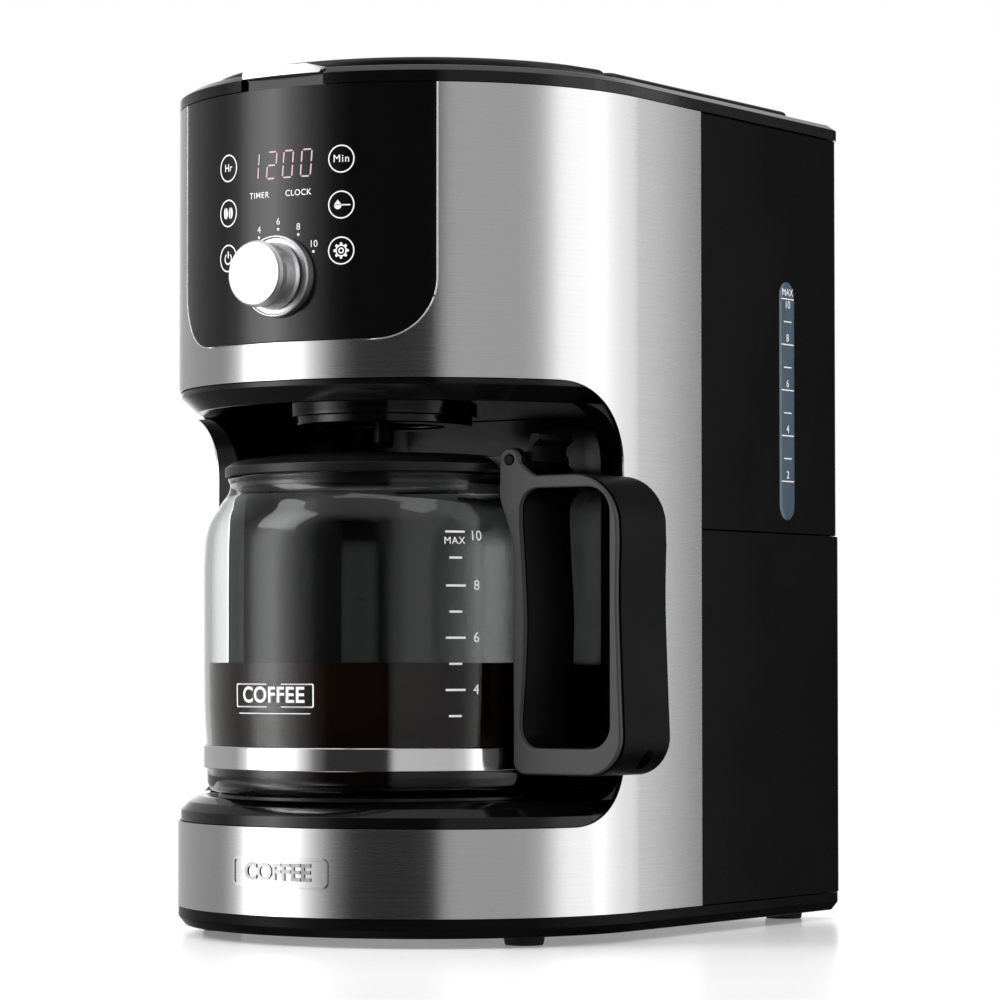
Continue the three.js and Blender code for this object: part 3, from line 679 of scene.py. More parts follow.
def make_bay():
    inside = 1.1
    low, high = span("bay_liner")[0].z, span("bay_liner")[1].z
    pocket = [
        (-POCKET_HALF, -50),
        (POCKET_HALF, -50),
        *arc(POCKET_HALF - 45, POCKET_BACK - 45, 45, 0, 90, 32),
        *arc(45 - POCKET_HALF, POCKET_BACK - 45, 45, 90, 180, 32),
    ]
    inner_bay = bay_outline(
        DECK_TOP, HEAD_LOW, PILLAR_FRONT + 0.3, 26 - (DECK_TOP - 44.9), 32 - (HEAD_HIGH + 0.3 - HEAD_LOW)
    )
    liner = cut(prism("bay_liner_skin", body_outline(inside), low, high), half_space(low=SEAM_Y - 0.3))
    join(liner, box_piece("back", (-96, 96), (SEAM_Y - 10, POCKET_BACK + 4), (low, high)))
    cut(
        liner,
        prism_x("bay", inner_bay, -FAR, FAR),
        prism("pocket", pocket, 0, 400),
    )
    soften(liner, 1.1, 4, 40)
    place(liner, LINER, "housing", "bay_liner", slot="gloss_black")

    lip = fillet(
        [(9, HEAD_LOW), (7.6, HEAD_LOW), (inside, 213.3), (inside, HEAD_HIGH)], [0, 1.6, 0.8, 0], closed=False
    )
    floor = stack("head_floor_skin", body_outline, lip)
    collar_low, collar_high = span("outlet_collar")
    middle = (collar_low + collar_high) / 2
    cut(floor, half_space(low=SEAM_Y - 0.3), turned(
        "hole", [(0, 190), (25, 190), (25, 230), (0, 230)], middle.x, middle.y, 96))
    place(floor, GLOSS, "housing", "head_floor", slot="gloss_black")

    outer = (collar_high.x - collar_low.x) / 2
    profile = fillet(
        [
            (24, collar_low.z),
            (outer - 2, collar_low.z),
            (outer - 2, collar_low.z + 3.4),
            (outer, collar_low.z + 3.4),
            (outer, HEAD_LOW + 0.2),
            (24, HEAD_LOW + 0.2),
        ],
        [1.2, 0.8, 0.3, 0.5, 0, 0],
    )
    collar = turned("outlet_collar_ring", profile, middle.x, middle.y, 128)
    place(collar, GLOSS, "housing", "outlet_collar", slot="satin_black")

    valve_low, valve_high = span("drip_valve")
    middle = (valve_low + valve_high) / 2
    tip = valve_low.z
    profile = fillet(
        [
            (0, tip), (3.4, tip), (4, tip + 2), (4, tip + 11.2), (7, tip + 11.2), (7, tip + 12.6),
            (3.8, tip + 12.6), (3.8, valve_high.z - 1.6), (7.5, valve_high.z - 1.6),
            (7.5, valve_high.z), (0, valve_high.z),
        ],
        [0, 0.8, 0.6, 0.4, 0.3, 0.3, 0.3, 0.3, 0.3, 0.3, 0],
    )
    valve = turned("drip_valve_stem", profile, middle.x, middle.y, 48)
    place(valve, BLACK, "drip_valve", "drip_valve", slot="satin_black")


# ------------------------------------------------------------------ top frame and lids

PIN_Z = joint_place("filter_lid_hinge").z
BARREL = LID_TOP - PIN_Z
LID_HALF = span("filter_lid")[1].x
EARS = (41, 46)


def ellipse(x, y, half_x, half_y, steps=96):
    return [(x + half_x * px, y + half_y * py) for px, py in arc(0, 0, 1, 0, 360, steps)[:-1]]


def rod_x(name, y, z, radius, low, high, steps=32):
    return prism_x(name, arc(y, z, radius, 0, 360, steps)[:-1], low, high)


def front_lid_outline(inset):
    back, corner = 99.4 - inset, 4
    radius = LID_HALF - inset
    return [
        *arc(0, HALF, radius, 195, 345, 72),
        *arc(radius - corner, back - corner, corner, 0, 90, 10),
        *arc(corner - radius, back - corner, corner, 90, 180, 10),
    ]


def rear_lid_outline(inset):
    return rectangle(-LID_HALF, LID_HALF, 101.5, 243, 5, inset)


def make_lid(name, outline, hinge_y, hollow_back):
    """A lid: a thin dished cover with a barrel for its pin and notches for the frame's ears."""
    round_edge = [(2.2 + x, z) for x, z in arc(0, LID_TOP - 2.2, 2.2, 180, 90, 6)]
    lid = stack(f"{name}_cover", outline, [(0, LID_LOW), *round_edge])
    hollow = prism("hollow", outline(3), LID_LOW - 1, LID_TOP - 2)
    cut(hollow, half_space(low=hollow_back))
    cut(lid, hollow, half_space(low=hinge_y + BARREL - 1))
    join(lid, rod_x("barrel", hinge_y, PIN_Z, BARREL, 1 - EARS[0], EARS[0] - 1))
    for side in (-1, 1):
        edges = sorted((side * (EARS[0] - 0.5), side * (EARS[1] + 0.5)))
        cut(lid, box_piece("notch", edges, (hinge_y - BARREL - 0.6, hinge_y + 20), (300, 400)))
    soften(lid, 0.25, 2, 50)
    place(lid, LIDS, name, name, slot="satin_black")


def make_top():
    edge = fillet(
        [(0, RIM_LOW), (0, 332.3), (3.6, RIM_TOP), (8, RIM_TOP)], [0, 0.5, 1.2, 0], closed=False
    )
    rim = stack("top_frame_skin", body_outline, edge)
    hinges = [joint_place("filter_lid_hinge").y, joint_place("rear_lid_hinge").y]
    cut(
        rim,
        prism("brew", ellipse(*BREW, 62.5, 38), 300, 350),
        prism("hopper", ellipse(*HOPPER, 60, 34.5), 300, 350),
        prism("tank", rectangle(-78, 78, 196, 234, 8), 300, 350),
        box_piece("notch", (-19.6, 19.6), (-5, 4.4), (300, 350)),
        prism("riser", ellipse(-64, 88, 4.5, 4.5, 24), 300, 350),
    )
    for y in hinges:
        ear_outline = [(y - BARREL, RIM_TOP - 1), (y + BARREL, RIM_TOP - 1), *arc(y, PIN_Z, BARREL, 0, 180, 16)]
        for side in (-1, 1):
            join(rim, prism_x("ear", ear_outline, *sorted((side * EARS[0], side * EARS[1]))))
        cut(rim, rod_x("bore", y, PIN_Z, 1.75, -60, 60))
    soften(rim, 0.3, 2, 50)
    place(rim, GLOSS, "housing", "top_frame", slot="gloss_black")

    make_lid("filter_lid", front_lid_outline, hinges[0], 91)
    make_lid("rear_lid", rear_lid_outline, hinges[1], 234)

    tab_low, tab_high = span("lid_tab")
    tab_high.z -= 0.9
    tab = prism("lid_tab_plate", body_outline(0), tab_low.z, tab_high.z)
    face = fillet(
        [
            (tab_low.x, tab_low.z), (tab_high.x - 1, tab_low.z), (tab_high.x, tab_low.z + 1.4),
            (tab_high.x - 6.5, tab_high.z), (tab_low.x + 3, tab_high.z), (tab_low.x, tab_high.z - 1.2),
        ],
        [0.5, 0.5, 0.6, 1.5, 1.5, 0.8],
    )
    combine(tab, prism_y("width", face, -5, 20), "INTERSECT")
    cut(
        tab,
        box_piece("under", (-FAR, FAR), (3.6, FAR), (300, LID_LOW)),
        prism("lid", front_lid_outline(-0.3), 300, 400),
    )
    soften(tab, 0.6, 4, 40)
    place(tab, SATIN, "filter_lid", "lid_tab", slot="chrome")


# ------------------------------------------------------------------ printing


class Print:
    """Flat artwork in (u, v) millimetres, laid on a curved surface as thin ink."""

    def __init__(self):
        self.verts = []
        self.faces = []

    def polygon(self, points):
        first = len(self.verts)
        self.verts += [(p[0], p[1]) for p in points]
        self.faces.append(list(range(first, first + len(points))))

    def bar(self, left, right, low, high):
        steps = max(1, int((right - left) / 1.5))
        for i in range(steps):
            a = left + (right - left) * i / steps
            b = left + (right - left) * (i + 1) / steps
            self.polygon([(a, low), (b, low), (b, high), (a, high)])

    def band(self, outer, inner, closed=True):
        count = len(outer)
        for i in range(count if closed else count - 1):
            j = (i + 1) % count
            self.polygon([outer[i], outer[j], inner[j], inner[i]])

    def ring(self, u, v, radius, width, start=0, end=360, steps=48):
        outer = arc(u, v, radius, start, end, steps)
        inner = arc(u, v, radius - width, start, end, steps)
        self.band(outer, inner, closed=False)

    def text(self, words, u, v, size, weight=0.0, spacing=1.0):
        curve = bpy.data.curves.new(words, "FONT")
        curve.body = words
        curve.size = size
        curve.offset = weight * size
        curve.space_character = spacing
        curve.align_x = "CENTER"
        curve.align_y = "CENTER"
        holder = bpy.data.objects.new(words, curve)
        bpy.context.scene.collection.objects.link(holder)
        shapes = bpy.context.evaluated_depsgraph_get()
        mesh = bpy.data.meshes.new_from_object(holder.evaluated_get(shapes))
        first = len(self.verts)
        self.verts += [(u + p.co.x, v + p.co.y) for p in mesh.vertices]
        self.faces += [[first + k for k in face.vertices] for face in mesh.polygons]
        bpy.data.objects.remove(holder)

    def lay(self, name, surface, material, body, lift=0.06, depth=0.05):
        """surface(u, v, lift) gives the place; the ink gets a little thickness."""
        low = [surface(u, v, lift - depth) for u, v in self.verts]
        high = [surface(u, v, lift) for u, v in self.verts]

        def build(work):
            bottom = [work.verts.new(at(*p)) for p in low]
            top = [work.verts.new(at(*p)) for p in high]
            edges = {}
            for face in self.faces:
                for a, b in zip(face, face[1:] + face[:1]):
                    edges[(a, b)] = edges.get((a, b), 0) + 1
            for face in self.faces:
                work.faces.new([top[k] for k in face])
                work.faces.new([bottom[k] for k in reversed(face)])
            for a, b in edges:
                if (b, a) not in edges:
                    work.faces.new((bottom[a], bottom[b], top[b], top[a]))

        piece = new_object(name, build)
        return place(piece, material, body)


SEGMENTS = {"1": "bc", "2": "abged", "0": "abcdef"}


def draw_digit(art, digit, u, v, width, height, slant=0.08, stroke=0.6):
    """A seven-segment digit, u and v its middle."""
    x, y = width / 2, height / 2
    ends = {
        "a": ((-x, y), (x, y)),
        "b": ((x, y), (x, 0)),
        "c": ((x, 0), (x, -y)),
        "d": ((-x, -y), (x, -y)),
        "e": ((-x, 0), (-x, -y)),
        "f": ((-x, y), (-x, 0)),
        "g": ((-x, 0), (x, 0)),
    }
    for segment in SEGMENTS[digit]:
        start, end = (Vector(p) for p in ends[segment])
        along = (end - start).normalized()
        side = Vector((-along.y, along.x)) * stroke / 2
        start, end = start + along * 0.35, end - along * 0.35
        tip = along * stroke / 2
        points = [start, start + tip - side, end - tip - side, end, end - tip + side, start + tip + side]
        art.polygon([(u + p.x + p.y * slant, v + p.y) for p in points])


def draw_beans(art, u, v):
    for side in (-1, 1):
        middle = u + side * 1.55
        right = arc(0, 0, 1, -90, 90, 16)
        for flip in (-1, 1):
            outer = [(middle + flip * (0.22 + 1.0 * px), v + 2.2 * py) for px, py in right]
            inner = [(middle + flip * 0.22, v + 2.2 * py) for px, py in right]
            art.band(outer if flip > 0 else inner, inner if flip > 0 else outer, closed=False)


def draw_scoop(art, u, v):
    bowl = arc(u - 1.4, v - 0.2, 1.5, 180, 360, 16)
    art.polygon(bowl)
    art.polygon([(u - 2.9, v + 0.1), (u + 0.1, v + 0.1), (u - 1.4, v + 1.9)])
    art.bar(u + 0.1, u + 3.7, v - 0.35, v + 0.1)


def draw_power(art, u, v):
    art.ring(u, v - 0.2, 2.3, 0.55, 125, 415, 28)
    art.polygon([(u - 0.28, v + 0.1), (u + 0.28, v + 0.1), (u + 0.28, v + 2.7), (u - 0.28, v + 2.7)])


def draw_gear(art, u, v):
    art.ring(u, v, 2.3, 0.5)
    art.ring(u, v, 1.15, 0.5)
    for k in range(8):
        a = 2 * math.pi * k / 8
        out, side = Vector((math.cos(a), math.sin(a))), Vector((-math.sin(a), math.cos(a)))
        points = [out * 2.2 - side * 0.6, out * 3.1 - side * 0.42, out * 3.1 + side * 0.42, out * 2.2 + side * 0.6]
        art.polygon([(u + p.x, v + p.y) for p in points])


# ------------------------------------------------------------------ controls

KEY_S = 27.4
KEY_RADIUS = 5.35
KEY_ROWS = (299, 281.5, 264)
TICKS = {"4": -32, "6": 0, "8": 31, "10": 62}


def make_panel():
    panel = cut(
        prism("panel_glass", body_outline(0.1, 144), PANEL_LOW - 5, STEEL_HIGH),
        prism("inner", body_outline(2.6, 144), 0, 400),
    )
    combine(panel, prism_y("outline", rolled(panel_outline(-0.35)), -5, 30), "INTERSECT")
    soften(panel, 0.3, 3, 50)
    place(panel, PANEL, "housing", "control_panel", slot="gloss_black", angle=20)

    border = panel_outline(-0.1, STEEL_HIGH)
    corners = len(border) // 2 - 1
    right, left = border[: corners + 1], border[corners + 1:]
    path = [right[-1], *reversed(right[:-1]), *reversed(left)]
    fine = [on_front(s, z, -0.12) for s, z in path]
    trim = tube("panel_trim", dense(fine), 0.34, 8)
    place(trim, SATIN, "housing", slot="chrome", angle=60)

    art = Print()
    for side in (-1, 1):
        for z in KEY_ROWS:
            art.ring(side * KEY_S, z, KEY_RADIUS, 0.5)
    art.text("Hr", -KEY_S, KEY_ROWS[0], 4.1, 0.006, 1.05)
    art.text("Min", KEY_S, KEY_ROWS[0], 4.1, 0.001, 1.15)
    draw_beans(art, -KEY_S, KEY_ROWS[1])
    draw_scoop(art, KEY_S, KEY_ROWS[1])
    draw_power(art, -KEY_S, KEY_ROWS[2])
    draw_gear(art, KEY_S, KEY_ROWS[2])
    art.text("TIMER", -9.6, 286.9, 3.3, 0.003, 1.15)
    art.text("CLOCK", 9.1, 286.9, 3.3, 0.006, 1.08)
    for words, angle in TICKS.items():
        a = math.radians(angle)
        dot = (18.0 * math.sin(a), DIAL.z + 0.6 + 17.6 * math.cos(a))
        art.polygon(arc(*dot, 0.55, 0, 345, 23))
        art.text(words, dot[0], dot[1] + 2.9, 3.7, 0.0)
    art.lay("panel_print", on_front, GLOWING_INK, "housing")

    digits = Print()
    for digit, u in zip("1200", (-12.0, -3.2, 4.5, 12.7)):
        draw_digit(digits, digit, u, 298.2, 4.3, 10.2)
    digits.lay("display_digits", on_front, DIGITS, "housing")


def dense(points, gap=1.2):
    """The same path with no two points further apart than gap."""
    made = []
    for start, end in zip(points, points[1:]):
        start, end = Vector(start), Vector(end)
        steps = max(1, math.ceil((end - start).length / gap))
        made += [start.lerp(end, k / steps) for k in range(steps)]
    return [tuple(p) for p in [*made, Vector(points[-1])]]


def make_dial():
    cap_low, cap_high = span("dial_knob")
    face, back = cap_low.y, cap_high.y
    radius = (cap_high.x - cap_low.x) / 2
    profile = fillet(
        [
            (0, face), (radius - 1.3, face), (radius - 0.5, face + 0.6), (radius - 0.9, face + 0.9),
            (radius - 0.2, face + 1.5), (radius - 0.5, face + 2.4), (radius - 0.9, face + 5),
            (radius - 0.6, back - 2), (radius, back), (0, back),
        ],
        [0, 0.3, 0.2, 0.15, 0.3, 0.5, 3, 3, 0.3, 0],
    )
    knob = turned_forward("dial_cap", profile, DIAL.x, DIAL.z, 128)
    place(knob, SATIN, "dial", "dial_knob", slot="satin_metal")

    groove = Print()
    groove.polygon([(-0.35, face + 2.2), (0.35, face + 2.2), (0.35, face + 6), (-0.35, face + 6)])

    def on_cap(u, v, lift):
        return (DIAL.x + u, v, DIAL.z + radius - 0.62 + lift)

    groove.lay("dial_mark", on_cap, BLACK, "dial", lift=0.3, depth=0.5)

    outer = (span("dial_skirt")[1].x - span("dial_skirt")[0].x) / 2
    front = span("dial_skirt")[0].y
    ring = fillet(
        [(11.2, front + 0.8), (14.6, front + 0.8), (15.0, front), (outer - 0.4, front), (outer, front + 0.6),
         (outer, 2.6), (11.2, 2.6)],
        [0, 0.3, 0.2, 0.3, 0.4, 0, 0],
    )
    skirt = turned_forward("dial_ring", ring, DIAL.x, DIAL.z, 128)
    place(skirt, SATIN, "housing", "dial_skirt", slot="satin_metal")


def make_badge():
    low, high = span("badge_plate")
    half, z0, z1 = high.x, low.z, high.z
    plate = cut(
        prism("badge_raised", body_outline(-0.95, 240), z0 - 2, z1 + 2),
        prism("inner", body_outline(-0.1, 240), 0, 60),
    )
    combine(plate, prism_y("outline", rectangle(-half, half, z0, z1, 2.2), -10, 30), "INTERSECT")
    field = cut(
        prism("field", body_outline(-2, 240), z0 - 2, z1 + 2),
        prism("floor", body_outline(-0.5, 240), 0, 60),
    )
    combine(field, prism_y("outline", rectangle(-half, half, z0, z1, 2.2, 0.9), -10, 30), "INTERSECT")
    cut(plate, field)
    soften(plate, 0.18, 2, 50)
    place(plate, STEEL, "housing", "badge_plate", slot="steel", angle=25)

    art = Print()
    art.text("COFFEE", 0, (z0 + z1) / 2 - 0.1, 9.0, 0.03)
    # The letters are darker steel: painted shade that makes the relief read.
    art.lay("badge_letters", on_front, SHADE_DARKENED_STEEL, "housing", lift=1.0, depth=0.6)


# ------------------------------------------------------------------ sight window


def make_window():
    low, high = span("level_window")
    radius = (high.y - low.y) / 2
    rings = []
    for inset, x in ((0, low.x), (0, high.x - 1.0), (0.35, high.x - 0.45), (1.2, high.x - 0.1), (2.4, high.x)):
        outline = rectangle(low.y, high.y, low.z, high.z, radius, inset, 12)
        rings.append([(x, y, z) for y, z in outline])
    pane = loft("level_pane", rings)
    place(pane, WINDOW, "housing", "level_window", slot="smoke", angle=50)

    art = Print()
    middle = (low.y + high.y) / 2
    step = (high.z - low.z) * 0.0948
    top = low.z + (high.z - low.z) * 0.924
    art.text("MAX", middle, top + 2.6, 4.2, 0.004)
    for cups in range(2, 11):
        z = top - step * (10 - cups)
        half = 5.0 if cups % 2 == 0 else 3.1
        art.bar(middle - half, middle + half, z - 0.25, z + 0.25)
        if cups % 2 == 0:
            art.text(str(cups), middle, z + (2.6 if cups < 10 else -2.5), 4.4, 0.006)

    def on_window(u, v, lift):
        return (high.x + lift, u, v)

    art.lay("level_marks", on_window, GLOWING_INK, "housing", lift=0.05, depth=0.12)


# ------------------------------------------------------------------ carafe

GLASS_WALL = 2.0
COFFEE_LEVEL = 107.6


def smooth_through(points, steps):
    """A smooth curve through the points (Catmull-Rom)."""
    made = []
    padded = [points[0], *points, points[-1]]
    for a, b, c, d in zip(padded, padded[1:], padded[2:], padded[3:]):
        for k in range(steps):
            t = k / steps
            made.append(tuple(
                0.5 * (2 * q + (r - p) * t + (2 * p - 5 * q + 4 * r - s) * t * t
                       + (3 * q - p - 3 * r + s) * t ** 3)
                for p, q, r, s in zip(a, b, c, d)
            ))
    return [*made, tuple(points[-1])]


def glass_outline():
    """Outside of the glass from its foot to the lip: (radius, z)."""
    wall = [
        (69.6, 66.4), (69.9, 75.4), (70.8, 92), (71, 120), (71, 147), (69.6, 160), (65.4, 168.4),
        (61.6, 174), (60.8, 177.6), (61.6, NECK_TOP - 0.6),
    ]
    return [*arc(65, CARAFE_LOW + 4.5, 4.5, 270, 355, 10), *smooth_through(wall, 6)]


def make_carafe():
    outside = glass_outline()
    inside = [(r - GLASS_WALL, z) for r, z in outside if z > CARAFE_LOW + 9]
    lip = arc(outside[-1][0] - 1.0, NECK_TOP - 0.6, 1.0, 0, 180, 8)[1:-1]
    floor = arc(62, CARAFE_LOW + GLASS_WALL + 5.5, 5.5, 355, 270, 8)
    profile = [(0, CARAFE_LOW + 0.5), (56, CARAFE_LOW + 0.5), (60, CARAFE_LOW), *outside, *lip, *inside[::-1], *floor,
               (0, CARAFE_LOW + GLASS_WALL)]
    body = turned("carafe_glass_body", profile, CARAFE.x, CARAFE.y, 160)
    place(body, GLASS, "carafe", "carafe_glass", slot="glass", angle=50)

    inner = [(r - 0.12, z) for r, z in [*floor[::-1], *inside] if z < COFFEE_LEVEL]
    liquid = [(0, CARAFE_LOW + GLASS_WALL + 0.15), *[(r, max(z, CARAFE_LOW + GLASS_WALL + 0.15)) for r, z in inner],
              (inner[-1][0], COFFEE_LEVEL), (inner[-1][0] - 1.2, COFFEE_LEVEL - 0.5), (0, COFFEE_LEVEL - 0.6)]
    coffee = turned("coffee", liquid, CARAFE.x, CARAFE.y, 128)
    place(coffee, COFFEE, "carafe", angle=50)

    low, high = span("carafe_band")
    band_low, band_high = low.z, high.z
    radius = (high.x - low.x) / 2
    edge = 0.35
    profile = [
        (radius - 0.8, band_low), (radius - edge, band_low), (radius, band_low + edge), (radius, band_high - edge),
        (radius - edge, band_high), (radius - 0.8, band_high),
    ]
    band = turned("carafe_ring", fillet(profile, 0.2), CARAFE.x, CARAFE.y, 160)
    place(band, CHROME, "carafe", "carafe_band", slot="chrome")
    print_carafe(outside)


def print_carafe(outside):
    def on_glass(u, v, lift):
        radius = next(
            r0 + (r1 - r0) * (v - z0) / (z1 - z0)
            for (r0, z0), (r1, z1) in zip(outside, outside[1:])
            if z0 <= v <= z1 and z1 > z0
        )
        a = u / CARAFE_PRINT_RADIUS
        return (
            CARAFE.x + (radius + lift) * math.sin(a),
            CARAFE.y - (radius + lift) * math.cos(a),
            v,
        )

    art = Print()
    top, step = 157.5, 9.9
    for cups in range(3, 11):
        z = top - step * (10 - cups) - (0.7 if cups < 9 else 0)
        left = CARAFE_PRINT_RADIUS * math.radians(55)
        if cups % 2 == 0:
            art.bar(left, CARAFE_PRINT_RADIUS * math.radians(61.6), z - 0.4, z + 0.4)
            art.text(str(cups), CARAFE_PRINT_RADIUS * math.radians(65.4), z - (1.6 if cups == 10 else 0), 5.4, 0.0)
        else:
            art.bar(left + 1.4, CARAFE_PRINT_RADIUS * math.radians(60.4), z - 0.4, z + 0.4)
    art.text("MAX", CARAFE_PRINT_RADIUS * math.radians(58.0), top - 3.5, 3.9, 0.001, 1.12)
    outer = rectangle(-21, 17, 90.6, 99.8, 0.8)
    inner = rectangle(-21, 17, 90.6, 99.8, 0.8, 0.55)
    art.band(outer, inner)
    art.text("COFFEE", -2, 95.2, 8.4, 0.02, 1.06)
    art.bar(-19.5, 15.5, 88.2, 88.55)
    art.lay("carafe_print", on_glass, GLOWING_INK, "carafe", lift=0.09, depth=0.06)


CARAFE_PRINT_RADIUS = 71.0


def handle_outline(inset=0.0):
    """The handle from the front: (x, z)."""
    strap = span("handle_grip")[0].x + 6.4 + inset
    reach = span("handle_grip")[1].x - inset
    low = span("handle_grip")[0].z + inset
    top = 179.4 - inset
    outer = smooth_through(
        [(reach - 0.1, low + 17), (reach - 1.0, low + 38), (reach - 1.9, low + 66), (reach - 1.5, low + 88)], 6
    )
    return [
        *arc(strap + 5, low + 5, 5, 180, 270, 8),
        *arc(reach - 15, low + 15, 15, 270, 355, 14),
        *outer,
        *arc(reach - 1.6 - 20, top - 20, 20, 8, 90, 16),
        (84 - inset, top),
    ]


def ear_side(inset=0.0):
    """From the top bar over the hinge ear and down the flare beside the glass: (x, z)."""
    x, z = LID_PIN.x, LID_PIN.z
    radius = 4.7 - inset
    right = [(80.6, 180.2), (77.8, 182.6)]
    left = [(66.6 + inset, 176), (66.7 + inset, 170.5), (69.6 + inset, 162.4), (72.2 + inset, 154),
            (72.8 + inset, 140), (72.8 + inset, 120)]
    return [*right, *arc(x, z, radius, -12, 172, 16), *smooth_through(left, 4)]


def handle_hole():
    left = smooth_through([(76.4, 160), (77.6, 142), (78.4, 122), (77.6, 102), (76.4, 88)], 6)
    return [
        *arc(84.4, 83.2, 8, 180, 270, 10),
        *arc(107.6, 84.2, 9, 270, 360, 10),
        *arc(106.6, 164.2, 10, 0, 90, 10),
        *arc(84.4, 166.2, 8, 90, 180, 10),
        *left,
    ]


def make_handle():
    plate_low, plate_high = span("handle_plate")
    grip_low, grip_high = span("handle_grip")
    face = handle_outline(0.5) + ear_side(0.3)
    plate = prism_y("handle_front", face, plate_low.y, plate_high.y)
    cut(
        plate,
        prism_y("hole", handle_hole(), -FAR, FAR),
        prism_y("pin", arc(LID_PIN.x, LID_PIN.z, 2.0, 0, 360, 32)[:-1], -FAR, FAR),
    )
    soften(plate, 0.7, 3, 40)
    place(plate, SOFT, "carafe", "handle_plate", slot="dark_grey")

    body = prism_y("handle_body", handle_outline() + ear_side(), grip_low.y, grip_high.y)
    middle = CARAFE.y
    cut(
        body,
        prism_y("hole", handle_hole(), -FAR, FAR),
        prism_y("pin", arc(LID_PIN.x, LID_PIN.z, 2.0, 0, 360, 32)[:-1], -FAR, FAR),
        box_piece("fork", (0, 200), (middle - 12.1, middle + 12.1), (179.6, 220)),
        rod_x("screw", middle + 4.5, 71.0, 3.6, 112, 140),
    )
    soften(body, 2.2, 5, 40)
    place(body, GRIP, "carafe", "handle_grip", slot="satin_black")

    head = [(0, 0), (2.1, 0), (2.6, 0.4), (2.6, 2), (0, 2)]
    screw = turned("screw_head", head, 0, 0, 32)
    for v in screw.data.vertices:
        local = (v.co - at(0, 0, 0)) / MM
        v.co = at(114.5 - local.z, middle + 4.5 + local.x, 71.0 + local.y)
    # The screw head is darker steel: painted shade for the hole it sits in.
    place(screw, SHADE_DARKENED_STEEL, "carafe", "handle_screw", slot="satin_metal")


def make_carafe_lid():
    low, high = span("carafe_lid")
    rim = 62.8
    profile = fillet(
        [
            (0, 183.4), (14, 182.4), (56.2, 182.4), (56.2, 176.5), (58.2, 176.5), (58.2, NECK_TOP + 0.5),
            (rim, NECK_TOP + 0.5), (rim, 184.2), (59, 186.8), (44, 188.8), (20, 188.8), (14, 186),
            (9, 184.6), (0, 184.4),
        ],
        [0, 0, 0.3, 0.4, 0.4, 0.2, 0.6, 0.8, 3, 6, 1.5, 1.5, 0.8, 0],
    )
    cap = turned("carafe_lid_cap", profile, CARAFE.x, CARAFE.y, 128)
    half = 11.8
    block = box_piece("block", (56, LID_PIN.x), (CARAFE.y - half, CARAFE.y + half), (182.6, 187))
    barrel = prism_y("barrel", arc(LID_PIN.x, LID_PIN.z, 3.6, 0, 360, 40)[:-1], CARAFE.y - half, CARAFE.y + half)
    join(cap, block, barrel)
    soften(cap, 0.5, 3, 40)
    place(cap, LIDS, "carafe_lid", "carafe_lid", slot="satin_black")

    x = LID_PIN.x
    lever_outline = fillet(
        [
            (x + 4.4, 184.5), (x + 6.8, 184.5), (x + 7.4, 191), (x + 10.4, 193.2), (x + 10.2, 195.4),
            (x + 5.8, 196),
        ],
        [0.4, 0.4, 1.6, 0.6, 0.6, 2.2],
    )
    lever = prism_y("thumb_lever", lever_outline, CARAFE.y - half, CARAFE.y + half)
    soften(lever, 0.6, 3, 40)
    place(lever, BLACK, "carafe_lid", "lid_lever", slot="satin_black")


# ------------------------------------------------------------------ inner pieces seen when open


def make_inner():
    low, high = span("permanent_filter")
    profile = fillet(
        [
            (0, low.z), (33, low.z), (54, high.z - 1), (60, high.z - 1), (60, high.z), (53, high.z),
            (32, low.z + 1), (0, low.z + 1),
        ],
        [0, 2, 0.4, 0.3, 0.3, 0.6, 2, 0],
    )
    basket = turned("filter_cone", profile, *BREW, 128, BREW_SQUASH)
    place(basket, MESH, "filter_basket", "permanent_filter", slot="satin_metal")

    low, high = span("bean_hopper")
    mouth = high.z
    profile = fillet(
        [
            (15, low.z), (18, low.z), (19, 292), (62, 312), (62, mouth), (60, mouth), (60, 313.5),
            (16, 293),
        ],
        [0.3, 0.3, 2, 4, 0.3, 0.3, 4, 2],
    )
    hopper = turned("hopper_funnel", profile, *HOPPER, 128, HOPPER_SQUASH)
    place(hopper, TANK, "housing", "bean_hopper", slot="smoke")

    low, high = span("brew_chamber")
    profile = [(62.5, low.z), (64.5, low.z), (64.5, high.z), (62.5, high.z)]
    wall = turned("brew_wall", profile, *BREW, 128, BREW_SQUASH)
    cut(wall, box_piece("slot", (-14.1, 14.1), (90, 110), (263.4, 286.6)))
    place(wall, BLACK, "housing", "brew_chamber", slot="satin_black")


CARRIED = {
    SATIN: ["flow_heater", "valve_spring", "grinder_motor", "outer_burr", "inner_burr", "burr_shaft",
            "filter_lid_pin", "rear_lid_pin", "dial_shaft"],
    # lid_hinge_pin is a metal pin made black as painted shade for the recess it sits in.
    BLACK: ["lid_hinge_pin", "heater_thermostat", "brew_basket", "grinder_housing", "spray_head", "display_module",
            "rotary_switch"],
    RUBBER: ["cord_gland"],
    TANK: ["water_tank"],
    SILICONE: ["cold_water_hose", "hot_water_riser"],
    BOARD: ["control_board"],
}


def dress_carried_nodes():
    for material, names in CARRIED.items():
        for name in names:
            mesh = frame["nodes"][name].data
            mesh.materials.clear()
            mesh.materials.append(material)


# ------------------------------------------------------------------ studio

CAMERA_PLACE = (911.1, -1201.9, 110.3)
CAMERA_AZIMUTH = 33.94
CAMERA_PITCH = 2.26
LENS = 142.19

# Brightness seen by the gloss, by azimuth in degrees: 0 in front of the machine, 90 to its right.
STUDIO = (
    (-180, 0.15), (-168, 0.5), (-152, 1.1), (-136, 1.1), (-126, 0.5), (-100, 0.42), (-72, 0.36), (-62, 0.8),
    (-52, 3.0), (-40, 4.6), (-30, 2.4), (-20, 1.0), (-9, 0.2), (0, 0.03), (38, 0.03), (43, 0.54), (80, 0.5),
    (88, 0.62), (93, 1.0), (98, 1.5), (104, 1.6), (117, 1.6), (124, 0.75), (132, 0.45), (142, 0.3), (149, 0.27),
    (153, 0.1), (172, 0.06), (180, 0.15),
)


